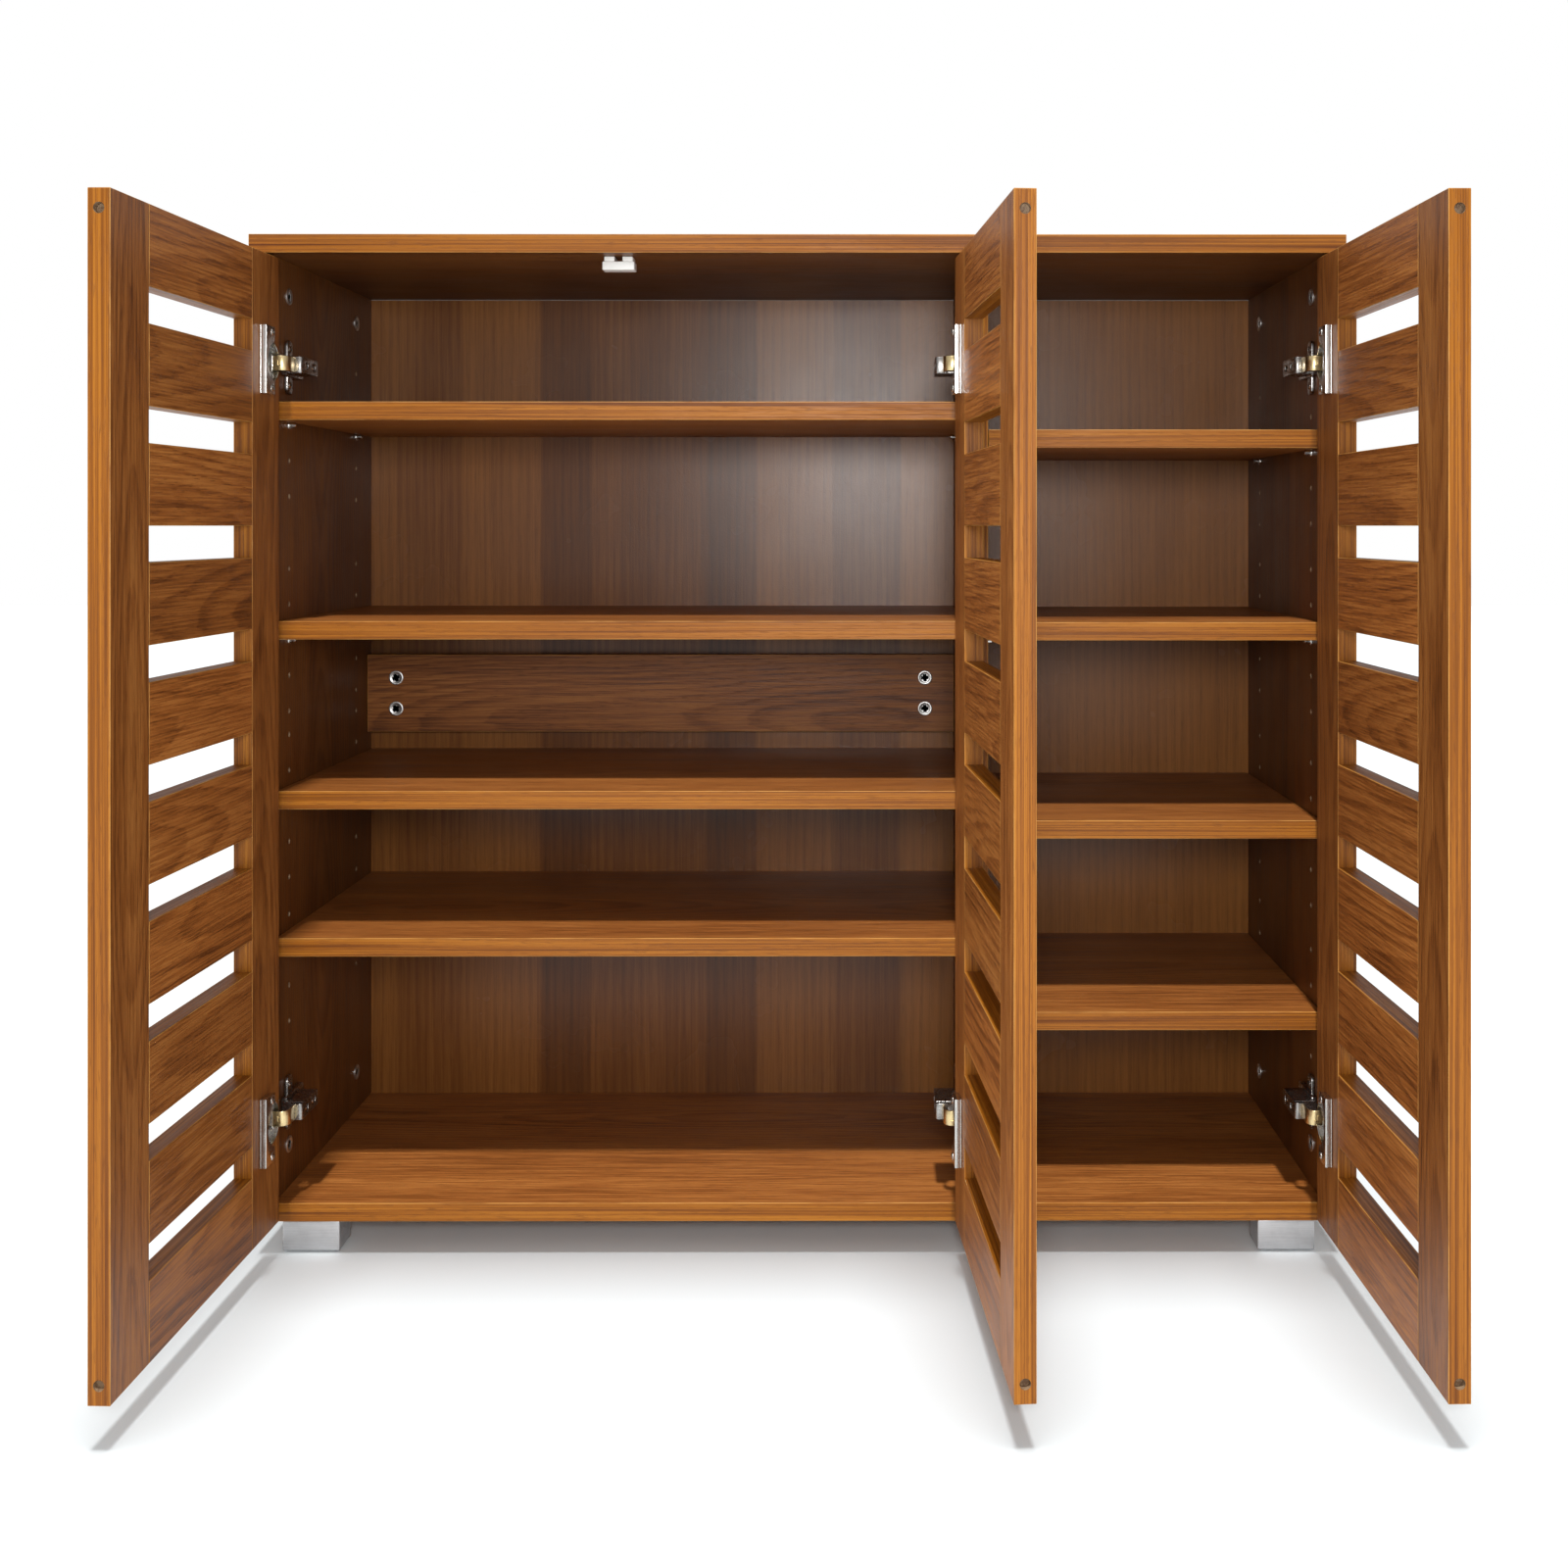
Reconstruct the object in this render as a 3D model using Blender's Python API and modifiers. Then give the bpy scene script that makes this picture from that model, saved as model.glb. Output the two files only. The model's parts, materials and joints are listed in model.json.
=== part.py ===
"""Three-door shoe cabinet: carcass, adjustable shelves, slatted doors and concealed hinges.

The floor is z = 0, the doors face -Y and every length is in metres.
"""

import math

import bmesh
import bpy
from mathutils import Matrix, Vector

# Driving dimensions of the carcass.
WIDTH = 0.950
HEIGHT = 0.890
DEPTH = 0.294
TOP_FRONT_OVERHANG = 0.020
BOARD = 0.016
BACK_BOARD = 0.003
FIT_GAP = 0.0003
EDGE_EASE = 0.0005

# Feet.
FOOT_SIZE = Vector((0.050, 0.032, 0.028))
FOOT_SIDE_INSET = 0.022
FOOT_FRONT_INSET = 0.002

# Shelves, by the height of their top faces above the floor.
LEFT_SHELF_TOPS = (0.7465, 0.5540, 0.4050, 0.2760)
RIGHT_SHELF_TOPS = (0.7220, 0.5530, 0.3790, 0.2110)
SHELF_SIDE_PLAY = 0.0005

# Stretcher across the back of the wide compartment, with its cam locks.
CLEAT_HEIGHT = 0.080
CLEAT_BOTTOM = 0.424
CAM_RADIUS = 0.0075
CAM_PROUD = 0.0012
CAM_SPACING = 0.032
CAM_FROM_END = 0.030

# Doors.
DOOR_WIDTH = 0.313
DOOR_THICKNESS = 0.016
DOOR_TOP_GAP = 0.003
DOOR_BOTTOM_GAP = 0.003
DOOR_FACE_GAP = 0.003
DOOR_SPACING = 0.003
STILE = 0.060
SLAT = 0.060
SLATS_PER_DOOR = 8
TONGUE_THICKNESS = 0.005
TONGUE_DEPTH = 0.008
EDGE_HOLE_RADIUS = 0.004
EDGE_HOLE_DEPTH = 0.006
EDGE_HOLE_FROM_END = 0.014

# Concealed hinges, laid out from the door's hinge edge (along) and inner face (deep).
HINGE_FROM_END = 0.092
PIVOT_ALONG = 0.0080
PIVOT_DEEP = 0.0112
PIN_RADIUS = 0.0010
EYE_HOLE_RADIUS = 0.0012
EYE_RADIUS = 0.0019
CUP_ALONG = 0.0205
CUP_RADIUS = 0.0175
CUP_WALL = 0.0009
CUP_INNER_DEPTH = 0.0134
CUP_BORE_RADIUS = 0.0178
CUP_BORE_DEPTH = 0.0146
RIM_RADIUS = 0.0182
PLATE_ALONG = (0.017, 0.046)
PLATE_HEIGHT = 0.061
PLATE_THICKNESS = 0.0012
LIP_THICKNESS = 0.0015
LIP_RISE = 0.0070
LINK_HEIGHT = 0.012
LINK_THICKNESS = 0.0024
LINK_KNEE = 0.0226
LINK_REACH = 0.0280
LINK_RISE_END = 0.0057
ARM_FRONT = 0.0028
ARM_BACK = 0.068
ARM_HEIGHT = 0.014
ARM_TOP = 0.0294
ARM_SHELL = 0.0110
RAIL_FRONT = 0.014
RAIL_BACK = 0.078
RAIL_HEIGHT = 0.018
WING_AT = 0.037
WING_LENGTH = 0.014
WING_HEIGHT = 0.048
WING_THICKNESS = 0.003

# Door stop under the top.
STOP_WIDTH = 0.028
STOP_HEIGHT = 0.012
STOP_FRONT = -0.002
STOP_BACK = 0.018
STOP_NOTCH = 0.006

# How far each door stands open in the stored pose.
OPEN_ANGLES = {"left": 91.5, "middle": 94.5, "right": 91.5}

# Values that follow from the driving dimensions.
CARCASS_BOTTOM = FOOT_SIZE.z
TOP_UNDERSIDE = HEIGHT - BOARD
SIDE_DEPTH = DEPTH - BACK_BOARD - FIT_GAP
SIDE_INNER = WIDTH / 2 - BOARD
DOOR_BOTTOM = CARCASS_BOTTOM + DOOR_BOTTOM_GAP
DOOR_HEIGHT = TOP_UNDERSIDE - DOOR_TOP_GAP - DOOR_BOTTOM
DOOR_PITCH = DOOR_WIDTH + DOOR_SPACING
DOOR_EDGE = 1.5 * DOOR_WIDTH + DOOR_SPACING
DIVIDER_CENTRE = DOOR_PITCH / 2
SLAT_GAP = (DOOR_HEIGHT - (SLATS_PER_DOOR + 2) * SLAT) / (SLATS_PER_DOOR + 1)
SLAT_PITCH = SLAT + SLAT_GAP
PIVOT_OUT = DOOR_FACE_GAP + PIVOT_DEEP

# Per door: the x of its hinge edge when closed, the way it runs from there, and where its arms are
# screwed, measured from the hinge edge.
DOORS = {
    "left": (-DOOR_EDGE, 1, DOOR_EDGE - SIDE_INNER),
    "middle": (DOOR_PITCH / 2 - DOOR_SPACING / 2, -1, BOARD / 2 - DOOR_SPACING / 2),
    "right": (DOOR_EDGE, -1, DOOR_EDGE - SIDE_INNER),
}


def clear_scene():
    for old in list(bpy.context.scene.objects):
        bpy.data.objects.remove(old, do_unlink=True)


def make_collection(name):
    made = bpy.data.collections.new(name)
    bpy.context.scene.collection.children.link(made)
    return made


def make_material(name, colour, roughness, metallic):
    material = bpy.data.materials.new(name)
    material.use_nodes = True
    shader = material.node_tree.nodes["Principled BSDF"]
    shader.inputs["Base Color"].default_value = (*colour, 1.0)
    shader.inputs["Roughness"].default_value = roughness
    shader.inputs["Metallic"].default_value = metallic
    return material


def box_mesh(name, low, high):
    """A box mesh between two corners."""
    low, high = Vector(low), Vector(high)
    size = high - low
    mesh = bpy.data.meshes.new(name)
    shape = bmesh.new()
    bmesh.ops.create_cube(shape, size=1.0)
    bmesh.ops.scale(shape, vec=size, verts=shape.verts)
    bmesh.ops.translate(shape, vec=(low + high) / 2, verts=shape.verts)
    shape.to_mesh(mesh)
    shape.free()
    return mesh


def cylinder_mesh(name, radius, start, end, segments=32):
    """A capped cylinder mesh between two points."""
    start, end = Vector(start), Vector(end)
    axis = end - start
    turn = Vector((0, 0, 1)).rotation_difference(axis).to_matrix().to_4x4()
    mesh = bpy.data.meshes.new(name)
    shape = bmesh.new()
    bmesh.ops.create_cone(
        shape,
        cap_ends=True,
        segments=segments,
        radius1=radius,
        radius2=radius,
        depth=axis.length,
        matrix=Matrix.Translation((start + end) / 2) @ turn,
    )
    shape.to_mesh(mesh)
    shape.free()
    return mesh


def combined_mesh(name, base, steps):
    """Apply Boolean steps, each a pair of operation and mesh, to a base mesh."""
    work = bpy.data.objects.new(name + "_work", base)
    cutters.objects.link(work)
    tools = []
    for operation, tool_mesh in steps:
        tool = bpy.data.objects.new(name + "_tool", tool_mesh)
        cutters.objects.link(tool)
        tools.append(tool)
        step = work.modifiers.new(operation.lower(), "BOOLEAN")
        step.operation = operation
        step.solver = "EXACT"
        step.object = tool
    depsgraph = bpy.context.evaluated_depsgraph_get()
    mesh = bpy.data.meshes.new_from_object(work.evaluated_get(depsgraph), depsgraph=depsgraph)
    mesh.name = name
    for used in (work, *tools):
        bpy.data.objects.remove(used, do_unlink=True)
    return mesh


def add_part(name, data, material, parent, location=(0, 0, 0)):
    """Make one named piece of the cabinet."""
    if not data.materials:
        data.materials.append(material)
    part = bpy.data.objects.new(name, data)
    parts.objects.link(part)
    part.parent = parent
    part.location = location
    return part


def ease_edges(part, width=EDGE_EASE):
    """Break the sharp edges of a piece with a narrow chamfer."""
    bevel = part.modifiers.new("eased_edges", "BEVEL")
    bevel.width = width
    bevel.segments = 1
    bevel.limit_method = "ANGLE"
    bevel.angle_limit = math.radians(50)
    return part


def add_board(name, low, high, material, parent):
    """Make a board between two corners, with eased edges and its origin at its middle."""
    low, high = Vector(low), Vector(high)
    middle = (low + high) / 2
    mesh = box_mesh(name, low - middle, high - middle)
    return ease_edges(add_part(name, mesh, material, parent, middle))


def add_empty(name, parent, location):
    empty = bpy.data.objects.new(name, None)
    empty.empty_display_size = 0.05
    parts.objects.link(empty)
    empty.parent = parent
    empty.location = location
    return empty


def open_reach():
    """How far in front of the carcass the furthest door corner stands, doors open as stored."""
    along = DOOR_WIDTH - PIVOT_ALONG
    reach = 0.0
    for angle in OPEN_ANGLES.values():
        turn = math.radians(angle)
        for deep in (-PIVOT_DEEP, DOOR_THICKNESS - PIVOT_DEEP):
            reach = max(reach, PIVOT_OUT + along * math.sin(turn) + deep * math.cos(turn))
    return reach


def build_carcass(cabinet):
    """Top, bottom, sides, divider, back and stretcher."""
    half = WIDTH / 2
    upright = (CARCASS_BOTTOM + BOARD + FIT_GAP, TOP_UNDERSIDE - FIT_GAP)
    add_board(
        "top_panel", (-half, -TOP_FRONT_OVERHANG, TOP_UNDERSIDE), (half, DEPTH, HEIGHT), walnut, cabinet
    )
    add_board(
        "bottom_panel",
        (-half, 0, CARCASS_BOTTOM),
        (half, SIDE_DEPTH, CARCASS_BOTTOM + BOARD),
        walnut,
        cabinet,
    )
    uprights = {
        "left_side_panel": -half + BOARD / 2,
        "right_side_panel": half - BOARD / 2,
        "centre_divider": DIVIDER_CENTRE,
    }
    for name, middle in uprights.items():
        low = (middle - BOARD / 2, 0, upright[0])
        high = (middle + BOARD / 2, SIDE_DEPTH, upright[1])
        add_board(name, low, high, walnut, cabinet)
    add_part(
        "back_panel",
        box_mesh(
            "back_panel",
            (-half + FIT_GAP, DEPTH - BACK_BOARD, CARCASS_BOTTOM),
            (half - FIT_GAP, DEPTH, TOP_UNDERSIDE - FIT_GAP),
        ),
        back_board,
        cabinet,
    )
    cleat_ends = (-SIDE_INNER + FIT_GAP, DIVIDER_CENTRE - BOARD / 2 - FIT_GAP)
    cleat_front = SIDE_DEPTH - BOARD
    add_board(
        "rear_cleat",
        (cleat_ends[0], cleat_front, CLEAT_BOTTOM),
        (cleat_ends[1], SIDE_DEPTH, CLEAT_BOTTOM + CLEAT_HEIGHT),
        walnut,
        cabinet,
    )
    cleat_middle = CLEAT_BOTTOM + CLEAT_HEIGHT / 2
    for side, end, inward in (("left", cleat_ends[0], 1), ("right", cleat_ends[1], -1)):
        for level, lift in (("lower", -0.5), ("upper", 0.5)):
            at = Vector((end + inward * CAM_FROM_END, 0, cleat_middle + lift * CAM_SPACING))
            face = cleat_front - FIT_GAP
            mesh = cylinder_mesh("cam", CAM_RADIUS, (0, face, 0), (0, face - CAM_PROUD, 0), 24)
            add_part(f"cleat_cam_{side}_{level}", mesh, zinc, cabinet, at)


def build_shelves(cabinet):
    divider_faces = (DIVIDER_CENTRE - BOARD / 2, DIVIDER_CENTRE + BOARD / 2)
    bays = (
        ("left_shelf", -SIDE_INNER, divider_faces[0], LEFT_SHELF_TOPS),
        ("right_shelf", divider_faces[1], SIDE_INNER, RIGHT_SHELF_TOPS),
    )
    for name, start, end, tops in bays:
        for number, top in enumerate(tops, start=1):
            low = (start + SHELF_SIDE_PLAY, FIT_GAP, top - BOARD)
            high = (end - SHELF_SIDE_PLAY, SIDE_DEPTH - FIT_GAP, top)
            add_board(f"{name}_{number}", low, high, walnut, cabinet)


def build_feet(cabinet):
    """Four metal blocks under the bottom panel, their upright corners rounded."""
    across = WIDTH / 2 - FOOT_SIDE_INSET - FOOT_SIZE.x / 2
    rows = {
        "front": FOOT_FRONT_INSET + FOOT_SIZE.y / 2,
        "rear": SIDE_DEPTH - FOOT_FRONT_INSET - FOOT_SIZE.y / 2,
    }
    half = Vector((FOOT_SIZE.x / 2, FOOT_SIZE.y / 2, 0))
    top = CARCASS_BOTTOM - FIT_GAP
    for row, back in rows.items():
        for side, sign in (("left", -1), ("right", 1)):
            mesh = box_mesh("foot", -half, (half.x, half.y, top))
            foot = add_part(f"{row}_{side}_foot", mesh, foot_metal, cabinet, (sign * across, back, 0))
            ease_edges(foot, 0.0008)


def build_door_stop(cabinet):
    """Two-lugged plastic stop where the left and middle doors meet."""
    top = TOP_UNDERSIDE - FIT_GAP
    block = box_mesh("door_stop", (-STOP_WIDTH / 2, STOP_FRONT, top - STOP_HEIGHT), (STOP_WIDTH / 2, STOP_BACK, top))
    notch = box_mesh(
        "stop_notch",
        (-STOP_NOTCH / 2, STOP_FRONT - 0.001, top - STOP_HEIGHT - 0.001),
        (STOP_NOTCH / 2, STOP_FRONT + 0.006, top - 0.004),
    )
    mesh = combined_mesh("door_stop", block, [("DIFFERENCE", notch)])
    add_part("door_stop", mesh, stop_plastic, cabinet, (-DOOR_PITCH / 2, 0, 0))


def door_box(name, side, along, deep, heights):
    """A box laid out along the door, deep into it, and up from the door's bottom edge."""
    first, last = sorted((side * along[0], side * along[1]))
    return box_mesh(name, (first, -deep[1], heights[0]), (last, -deep[0], heights[1]))


def stile_mesh(side, free_edge):
    """A full-height stile, with its groove and either its cup bores or its edge holes."""
    start = DOOR_WIDTH - STILE if free_edge else 0.0
    solid = door_box("stile", side, (start, start + STILE), (0, DOOR_THICKNESS), (0, DOOR_HEIGHT))
    middle = DOOR_THICKNESS / 2
    inner = start if free_edge else start + STILE
    outwards = 1 if free_edge else -1
    groove_floor = inner + outwards * (TONGUE_DEPTH + FIT_GAP)
    groove_mouth = inner - outwards * 0.001
    reach = TONGUE_THICKNESS / 2 + FIT_GAP
    groove_ends = (SLAT_PITCH - FIT_GAP, DOOR_HEIGHT - SLAT_PITCH + FIT_GAP)
    groove = door_box(
        "groove", side, sorted((groove_floor, groove_mouth)), (middle - reach, middle + reach), groove_ends
    )
    steps = [("DIFFERENCE", groove)]
    if free_edge:
        for height in (EDGE_HOLE_FROM_END, DOOR_HEIGHT - EDGE_HOLE_FROM_END):
            mouth = (side * (DOOR_WIDTH + 0.001), -middle, height)
            floor = (side * (DOOR_WIDTH - EDGE_HOLE_DEPTH), -middle, height)
            steps.append(("DIFFERENCE", cylinder_mesh("edge_hole", EDGE_HOLE_RADIUS, floor, mouth, 24)))
    else:
        for height in hinge_heights():
            mouth = (side * CUP_ALONG, 0.001, height)
            floor = (side * CUP_ALONG, -CUP_BORE_DEPTH, height)
            steps.append(("DIFFERENCE", cylinder_mesh("cup_bore", CUP_BORE_RADIUS, floor, mouth, 40)))
    return combined_mesh("stile", solid, steps)


def slat_ladder_mesh(side):
    """The eight slats, held in the stile grooves by a tongue along each side."""
    middle = DOOR_THICKNESS / 2
    start, end = STILE, DOOR_WIDTH - STILE
    tongue = (middle - TONGUE_THICKNESS / 2, middle + TONGUE_THICKNESS / 2)
    tenon = (tongue[0] + 0.0005, tongue[1] - 0.0005)
    ends = (SLAT_PITCH, DOOR_HEIGHT - SLAT_PITCH)
    steps = [("UNION", door_box("tongue", side, (end, end + TONGUE_DEPTH), tongue, ends))]
    for number in range(1, SLATS_PER_DOOR + 1):
        foot = number * SLAT_PITCH
        slat = door_box(
            "slat", side, (start + FIT_GAP, end - FIT_GAP), (0, DOOR_THICKNESS), (foot, foot + SLAT)
        )
        bar = door_box(
            "tenon",
            side,
            (start - TONGUE_DEPTH / 2, end + TONGUE_DEPTH / 2),
            tenon,
            (foot + 0.001, foot + SLAT - 0.001),
        )
        steps.append(("UNION", bar))
        steps.append(("UNION", slat))
    base = door_box("tongue", side, (start - TONGUE_DEPTH, start), tongue, ends)
    return combined_mesh("slat_ladder", base, steps)


def hinge_heights():
    return (HINGE_FROM_END, DOOR_HEIGHT - HINGE_FROM_END)


def hinge_cup_mesh(side):
    """Cup with its screw plate, raised lip and pivot pin."""
    plate_top = -(FIT_GAP + PLATE_THICKNESS)
    plate = door_box(
        "plate", side, PLATE_ALONG, (plate_top, -FIT_GAP), (-PLATE_HEIGHT / 2, PLATE_HEIGHT / 2)
    )
    lip = door_box(
        "lip",
        side,
        (PLATE_ALONG[1] - LIP_THICKNESS, PLATE_ALONG[1] + 0.0001),
        (-LIP_RISE, -FIT_GAP - 0.0001),
        (-PLATE_HEIGHT / 2 - 0.0001, PLATE_HEIGHT / 2 + 0.0001),
    )
    centre = side * CUP_ALONG
    floor = -(CUP_INNER_DEPTH + CUP_WALL)
    body = cylinder_mesh("cup", CUP_RADIUS, (centre, floor, 0), (centre, 0.0006, 0), 40)
    rim = cylinder_mesh("rim", RIM_RADIUS, (centre, FIT_GAP + 0.00005, 0), (centre, -plate_top - 0.00005, 0), 40)
    hollow = cylinder_mesh(
        "hollow", CUP_RADIUS - CUP_WALL, (centre, -CUP_INNER_DEPTH, 0), (centre, 0.01, 0), 40
    )
    pin_at = (side * PIVOT_ALONG, -PIVOT_DEEP)
    reach = math.sqrt((CUP_RADIUS - CUP_WALL / 2) ** 2 - (CUP_ALONG - PIVOT_ALONG) ** 2)
    pin = cylinder_mesh("pin", PIN_RADIUS, (*pin_at, -reach), (*pin_at, reach), 16)
    steps = [("UNION", lip), ("UNION", rim), ("UNION", body), ("DIFFERENCE", hollow), ("UNION", pin)]
    return combined_mesh("hinge_cup", plate, steps)


def link_outline():
    """Outline of the gooseneck in (along, out) from the pivot: an eye, then a bent strip."""
    half = LINK_THICKNESS / 2
    opening = math.asin(half / EYE_RADIUS)
    points = []
    arc_steps = 20
    for step in range(arc_steps + 1):
        turn = opening + (2 * math.pi - 2 * opening) * step / arc_steps
        points.append(Vector((EYE_RADIUS * math.cos(turn), EYE_RADIUS * math.sin(turn))))
    knee = Vector((LINK_KNEE - PIVOT_ALONG, 0))
    shoulder = Vector((LINK_REACH - PIVOT_ALONG, LINK_RISE_END))
    tip = Vector((shoulder.x, PIVOT_OUT + ARM_FRONT - FIT_GAP))
    line = [Vector((0, 0)), knee, shoulder, tip]
    outer, inner = [], []
    for before, here, after in zip(line, line[1:], line[2:]):
        first = (here - before).normalized()
        second = (after - here).normalized()
        normal = Vector((-first.y, first.x)) + Vector((-second.y, second.x))
        mitre = normal.normalized() * half / math.cos(first.angle(second) / 2)
        outer.append(here - mitre)
        inner.append(here + mitre)
    outer.append(tip + Vector((half, 0)))
    inner.append(tip - Vector((half, 0)))
    return points + outer + inner[::-1]


def link_curve(side):
    """Gooseneck link as a filled outline, as thick as the link is high."""
    curve = bpy.data.curves.new("hinge_link", "CURVE")
    curve.dimensions = "2D"
    curve.fill_mode = "BOTH"
    curve.extrude = LINK_HEIGHT / 2
    eye_hole = []
    for step in range(16):
        turn = 2 * math.pi * step / 16
        eye_hole.append(Vector((EYE_HOLE_RADIUS * math.cos(turn), EYE_HOLE_RADIUS * math.sin(turn))))
    for outline in (link_outline(), eye_hole):
        spline = curve.splines.new("POLY")
        spline.points.add(len(outline) - 1)
        for point, place in zip(spline.points, outline):
            point.co = (side * place.x, place.y, 0, 1)
        spline.use_cyclic_u = True
    return curve


def hinge_arm_mesh(side, base):
    """Arm on its winged mounting plate; base is where the plate is screwed, along from the edge."""
    foot = base + FIT_GAP
    wing = box_between(side, (foot, foot + WING_THICKNESS), WING_AT, WING_LENGTH, WING_HEIGHT)
    rail_middle = (RAIL_FRONT + RAIL_BACK) / 2
    rail = box_between(
        side, (foot + 0.0002, ARM_TOP - ARM_SHELL + 0.001), rail_middle, RAIL_BACK - RAIL_FRONT, RAIL_HEIGHT
    )
    arm_middle = (ARM_FRONT + ARM_BACK) / 2
    arm = box_between(side, (ARM_TOP - ARM_SHELL, ARM_TOP), arm_middle, ARM_BACK - ARM_FRONT, ARM_HEIGHT)
    return combined_mesh("hinge_arm", wing, [("UNION", rail), ("UNION", arm)])


def box_between(side, along, middle, length, height):
    """A box for the hinge arm: along from the hinge edge, and about a middle behind the front."""
    first, last = sorted((side * along[0], side * along[1]))
    return box_mesh("arm_box", (first, middle - length / 2, -height / 2), (last, middle + length / 2, height / 2))


def build_door(cabinet, name):
    """One slatted door on its pivot axis, and its two hinges."""
    edge, side, arm_base = DOORS[name]
    axis = add_empty(f"{name}_door_axis", cabinet, (edge + side * PIVOT_ALONG, -PIVOT_OUT, 0))
    axis.rotation_euler.z = -side * math.radians(OPEN_ANGLES[name])
    corner = Vector((-side * PIVOT_ALONG, PIVOT_DEEP, DOOR_BOTTOM))
    rail_ends = (STILE + FIT_GAP, DOOR_WIDTH - STILE - FIT_GAP)
    faces = (0, DOOR_THICKNESS)
    pieces = {
        "hinge_stile": stile_mesh(side, free_edge=False),
        "free_stile": stile_mesh(side, free_edge=True),
        "bottom_rail": door_box("rail", side, rail_ends, faces, (0, SLAT)),
        "top_rail": door_box("rail", side, rail_ends, faces, (DOOR_HEIGHT - SLAT, DOOR_HEIGHT)),
        "slat_ladder": slat_ladder_mesh(side),
    }
    for piece, mesh in pieces.items():
        add_part(f"{name}_door_{piece}", mesh, walnut, axis, corner)
    for level, height in zip(("lower", "upper"), hinge_heights()):
        lift = Vector((0, 0, height))
        add_part(f"{name}_{level}_hinge_cup", hinge_cup_mesh(side), hinge_steel, axis, corner + lift)
        level_z = DOOR_BOTTOM + height
        pivot = (edge + side * PIVOT_ALONG, -PIVOT_OUT, level_z)
        add_part(f"{name}_{level}_hinge_link", link_curve(side), hinge_brass, cabinet, pivot)
        arm = hinge_arm_mesh(side, arm_base)
        add_part(f"{name}_{level}_hinge_arm", arm, hinge_steel, cabinet, (edge, 0, level_z))


def build_cabinet():
    """Assemble the cabinet with the middle of its floor area, doors open, at the origin."""
    centre_shift = (open_reach() - DEPTH) / 2
    cabinet = add_empty("cabinet", None, (0, centre_shift, 0))
    build_carcass(cabinet)
    build_shelves(cabinet)
    build_feet(cabinet)
    build_door_stop(cabinet)
    for name in DOORS:
        build_door(cabinet, name)


clear_scene()
parts = make_collection("shoe_cabinet")
cutters = make_collection("cutters")
walnut = make_material("walnut_board", (0.19, 0.075, 0.028), 0.42, 0.0)
back_board = make_material("back_board", (0.17, 0.10, 0.062), 0.50, 0.0)
foot_metal = make_material("foot_metal", (0.56, 0.56, 0.55), 0.38, 0.9)
hinge_steel = make_material("hinge_steel", (0.55, 0.55, 0.53), 0.28, 1.0)
hinge_brass = make_material("hinge_brass", (0.58, 0.42, 0.20), 0.34, 1.0)
zinc = make_material("zinc", (0.62, 0.61, 0.57), 0.36, 1.0)
stop_plastic = make_material("stop_plastic", (0.86, 0.85, 0.82), 0.45, 0.0)
build_cabinet()
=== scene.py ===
"""Shoe cabinet with three slatted doors: the visible model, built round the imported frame."""

from __future__ import annotations

import json
import logging
import math
import random
from dataclasses import dataclass, field
from enum import Enum
from typing import Iterable, Sequence, Union

import bmesh
import bpy
from mathutils import Matrix, Vector


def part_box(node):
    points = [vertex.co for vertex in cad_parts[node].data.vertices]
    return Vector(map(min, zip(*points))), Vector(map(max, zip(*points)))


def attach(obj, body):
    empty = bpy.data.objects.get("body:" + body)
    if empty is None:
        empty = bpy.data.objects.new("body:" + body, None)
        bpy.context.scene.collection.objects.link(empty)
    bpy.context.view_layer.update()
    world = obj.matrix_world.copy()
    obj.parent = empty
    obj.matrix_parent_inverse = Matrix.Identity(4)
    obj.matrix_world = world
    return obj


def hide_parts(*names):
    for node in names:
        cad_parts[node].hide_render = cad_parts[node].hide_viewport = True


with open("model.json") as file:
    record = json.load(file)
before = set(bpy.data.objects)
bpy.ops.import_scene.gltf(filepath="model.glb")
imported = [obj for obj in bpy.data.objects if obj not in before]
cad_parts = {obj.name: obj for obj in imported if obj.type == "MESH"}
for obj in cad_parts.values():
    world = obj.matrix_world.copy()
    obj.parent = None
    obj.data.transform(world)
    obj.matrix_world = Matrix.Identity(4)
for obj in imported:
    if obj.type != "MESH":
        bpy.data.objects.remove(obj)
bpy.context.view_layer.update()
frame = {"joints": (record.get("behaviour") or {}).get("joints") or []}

log = logging.getLogger("shoe_cabinet")

Colour = tuple[float, float, float]
Outline = list[tuple[float, float]]

CARCASS_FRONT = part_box("left_side_panel")[0].y
DOOR_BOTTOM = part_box("left_door_hinge_stile")[0].z
DOOR_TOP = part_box("left_door_hinge_stile")[1].z
DOOR_HEIGHT = DOOR_TOP - DOOR_BOTTOM

# Gap or overlap that keeps touching faces apart, and turns that stand a flat plate up.
SEAM = 0.0003
UPRIGHT = Matrix.Rotation(math.pi / 2, 4, "X")
EDGEWISE = Matrix(((0, 0, 1, 0), (1, 0, 0, 0), (0, 1, 0, 0), (0, 0, 0, 1)))


class Grain(Enum):
    """The axis that a board's grain runs along."""

    ALONG_X = 0
    ALONG_Z = 2


class Skin(Enum):
    """What covers a face of a board."""

    LAMINATE = 0.0
    EDGE_BAND = 1.0
    ARRIS = 2.0
    RAW = 3.0


# ---------------------------------------------------------------------------
# Meshes
# ---------------------------------------------------------------------------


def piece_from(name: str, mesh: bpy.types.Mesh) -> bpy.types.Object:
    """Link a mesh to the scene as an object at the origin.

    Args:
        name: The piece's name.
        mesh: Its mesh, already in place.

    Returns:
        The new object.
    """
    mesh.name = name
    piece = bpy.data.objects.new(name, mesh)
    bpy.context.scene.collection.objects.link(piece)
    return piece


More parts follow.
